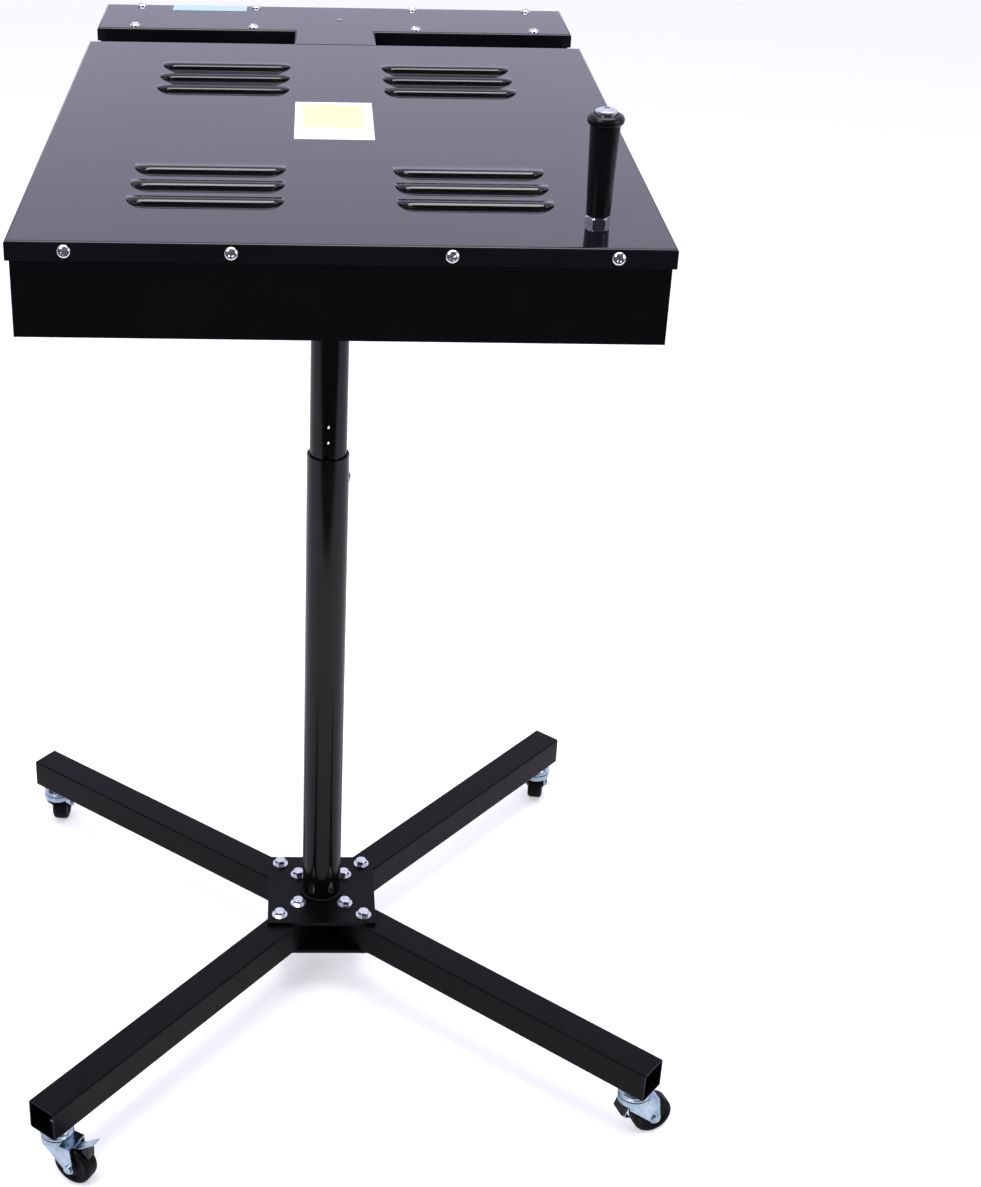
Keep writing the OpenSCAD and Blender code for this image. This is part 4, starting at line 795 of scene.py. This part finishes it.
def lever():
    """The right brake: a bent lever that hangs in front of the wheel, and a block on its outer face."""
    place = caster_place("front_right") @ Matrix.Translation((LEAD_PIN[0] * MM, 0, LEAD_PIN[1] * MM))
    hung = place @ Matrix.Rotation(math.radians(LEVER_TILT), 4, "Y")
    bm = bmesh.new()
    pin(bm, 0, 0, PIN_RADIUS, PIN_HALF, place)
    prism(bm, [(-BRAKE_SHEET, 0), (-BRAKE_SHEET, -18), (7.8, -18), (7.8, -16.8), (0, -16.8), (0, 0)], 9.8,
          hung, 0.25)
    shoe = bmesh.new()
    outline = [(-BRAKE_SHEET, -1), (-8.2, -1), (-8.2, -13), (-6.2, -15), (-BRAKE_SHEET, -15)]
    prism(shoe, outline, 10, hung, 0.8)
    brake_pieces("front_right", "lever", bm, shoe)


def stems():
    """The fixed half of each caster: threaded stud, upper race with a rolled rim, and the swivel's pin."""
    low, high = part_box("caster_stems")
    foot, top = low.z / MM, high.z / MM
    bm = bmesh.new()
    thread = []
    z, crest, core, pitch = 74.0, 5.0, 4.55, 1.2
    while z < top - 1.5:
        thread += [(crest, z), (core, z + pitch / 2)]
        z += pitch
    head = [(0, foot), (6.9, foot), (7.5, foot + 0.6), (7.5, foot + 2.9), (5.0, foot + 3.0)]
    race = [(5.0, 61.0), (17.4, 61.0), (18.9, 61.3), (19.6, 62.2), (19.75, 63.3), (19.6, 64.4), (18.7, 65.0),
            (18.55, 65.5), (19.1, 66.1), (19.3, 67.0), (19.0, 68.0), (18.0, 69.4), (16.9, 71.2), (16.3, 73.0),
            (5.0, 73.0)]
    tip = [(4.4, top - 0.6), (3.8, top), (0, top)]
    for corner in CORNERS:
        lathe(bm, head + race + thread + tip, caster_place(corner), 56)
    piece(bm, "caster_stems_turned", "caster_stems", smooth=35)


wheels()
pedal()
lever()
stems()
screws()
weld()
filaments()
dial()


# Stage

# The camera, solved from the photograph: sizes in pixels, angles in radians
SENSOR = 36.0
PHOTO_HEIGHT = 1187
PHOTO_CENTRE = (490.5, 593.5)
LENS_AXIS = (340.883, 549.125)
FOCAL_PIXELS = 1949.83
CAMERA_PLACE = (-0.024343, -2.071547, 1.724895)
PITCH, YAW, ROLL = 0.487, -0.02, 0.02
FLOOR_HALF = 8.0
FLOOR_Y = 6.8
# Light that only the camera sees, which brings the paper to white
PAPER_GLOW = 0.42
# What the part mirrors of the room in front of it and behind it, and that light's colour
ROOM_FRONT, ROOM_BEHIND = 0.10, 0.98
ROOM_TINT = (0.90, 0.88, 1.11, 1.0)
WHITE = (1.0, 1.0, 1.0, 1.0)
# Place, aim, width, height and watts
SOFTBOXES = {
    "key softbox": ((-1.9, -2.4, 2.9), (0, -0.1, 0.5), 1.2, 1.2, 40),
    "fill softbox": ((2.4, -1.6, 1.6), (0, 0, 0.4), 1.0, 1.4, 20),
    "overhead softbox": ((0.05, -0.75, 3.4), (0, -0.45, 1.2), 2.8, 1.3, 105),
}

scene = bpy.context.scene
camera_data = bpy.data.cameras.new("camera")
camera_data.sensor_width = SENSOR
camera_data.lens = FOCAL_PIXELS / PHOTO_HEIGHT * SENSOR
camera_data.shift_x = (PHOTO_CENTRE[0] - LENS_AXIS[0]) / PHOTO_HEIGHT
camera_data.shift_y = (LENS_AXIS[1] - PHOTO_CENTRE[1]) / PHOTO_HEIGHT
camera_data.clip_end = 60
camera = bpy.data.objects.new("camera", camera_data)
scene.collection.objects.link(camera)
forward = Vector((-math.sin(YAW) * math.cos(PITCH), math.cos(YAW) * math.cos(PITCH), -math.sin(PITCH)))
level = Vector((math.cos(YAW), math.sin(YAW), 0))
upright = level.cross(forward)
side = level * math.cos(ROLL) + upright * math.sin(ROLL)
top = upright * math.cos(ROLL) - level * math.sin(ROLL)
camera.matrix_world = Matrix.Translation(CAMERA_PLACE) @ Matrix((side, top, -forward)).transposed().to_4x4()
scene.camera = camera
scene.view_settings.view_transform = "Standard"

floor_bm = bmesh.new()
bmesh.ops.create_grid(floor_bm, x_segments=1, y_segments=1, size=FLOOR_HALF)
bmesh.ops.translate(floor_bm, vec=(0, FLOOR_Y, 0), verts=floor_bm.verts)
floor_mesh = bpy.data.meshes.new("floor")
floor_bm.to_mesh(floor_mesh)
floor_bm.free()
floor = bpy.data.objects.new("floor", floor_mesh)
scene.collection.objects.link(floor)
paper = bpy.data.materials.new("white paper sweep")
paper.use_nodes = True
paper_tree = paper.node_tree
paper_tree.nodes.clear()
paper_place = add(paper_tree, "ShaderNodeTexCoord").outputs["Object"]
tooth = add(paper_tree, "ShaderNodeTexNoise", {"Vector": paper_place, "Scale": 1 / (3 * MM)})
paper_tone = add(paper_tree, "ShaderNodeMix", {
    "Factor": tooth.outputs["Fac"], "A": linear("#ececee"), "B": linear("#eeeeef")}, data_type="RGBA")
matte = add(paper_tree, "ShaderNodeBsdfDiffuse", {"Color": paper_tone.outputs["Result"]})
seen = add(paper_tree, "ShaderNodeLightPath")
strength = add(paper_tree, "ShaderNodeMath", {0: seen.outputs["Is Camera Ray"], 1: PAPER_GLOW},
               operation="MULTIPLY")
glow = add(paper_tree, "ShaderNodeEmission", {"Color": WHITE, "Strength": strength.outputs[0]})
both = add(paper_tree, "ShaderNodeAddShader", {0: matte.outputs["BSDF"], 1: glow.outputs["Emission"]})
add(paper_tree, "ShaderNodeOutputMaterial", {"Surface": both.outputs["Shader"]})
floor_mesh.materials.append(paper)

world = bpy.data.worlds.new("studio")
scene.world = world
world.use_nodes = True
sky = world.node_tree
sky.nodes.clear()
direction = add(sky, "ShaderNodeTexCoord").outputs["Generated"]
axes = add(sky, "ShaderNodeSeparateXYZ", {"Vector": direction})
behind = add(sky, "ShaderNodeMapRange", {
    "Value": axes.outputs["Y"], "From Min": -0.45, "From Max": 0.15, "To Min": ROOM_FRONT,
    "To Max": ROOM_BEHIND}, interpolation_type="SMOOTHSTEP")
to_camera = add(sky, "ShaderNodeLightPath").outputs["Is Camera Ray"]
studio = add(sky, "ShaderNodeMix", {
    "Factor": to_camera, "A": behind.outputs["Result"], "B": 1.0}, data_type="FLOAT")
tint = add(sky, "ShaderNodeMix", {"Factor": to_camera, "A": ROOM_TINT, "B": WHITE}, data_type="RGBA")
backdrop = add(sky, "ShaderNodeBackground", {
    "Color": tint.outputs["Result"], "Strength": studio.outputs["Result"]})
add(sky, "ShaderNodeOutputWorld", {"Surface": backdrop.outputs["Background"]})

for name, (place, aim, width, height, watts) in SOFTBOXES.items():
    light = bpy.data.lights.new(name, "AREA")
    light.shape = "RECTANGLE"
    light.size, light.size_y = width, height
    light.energy = watts
    lamp = bpy.data.objects.new(name, light)
    scene.collection.objects.link(lamp)
    turn = (Vector(aim) - Vector(place)).to_track_quat("-Z", "Y").to_matrix().to_4x4()
    lamp.matrix_world = Matrix.Translation(place) @ turn
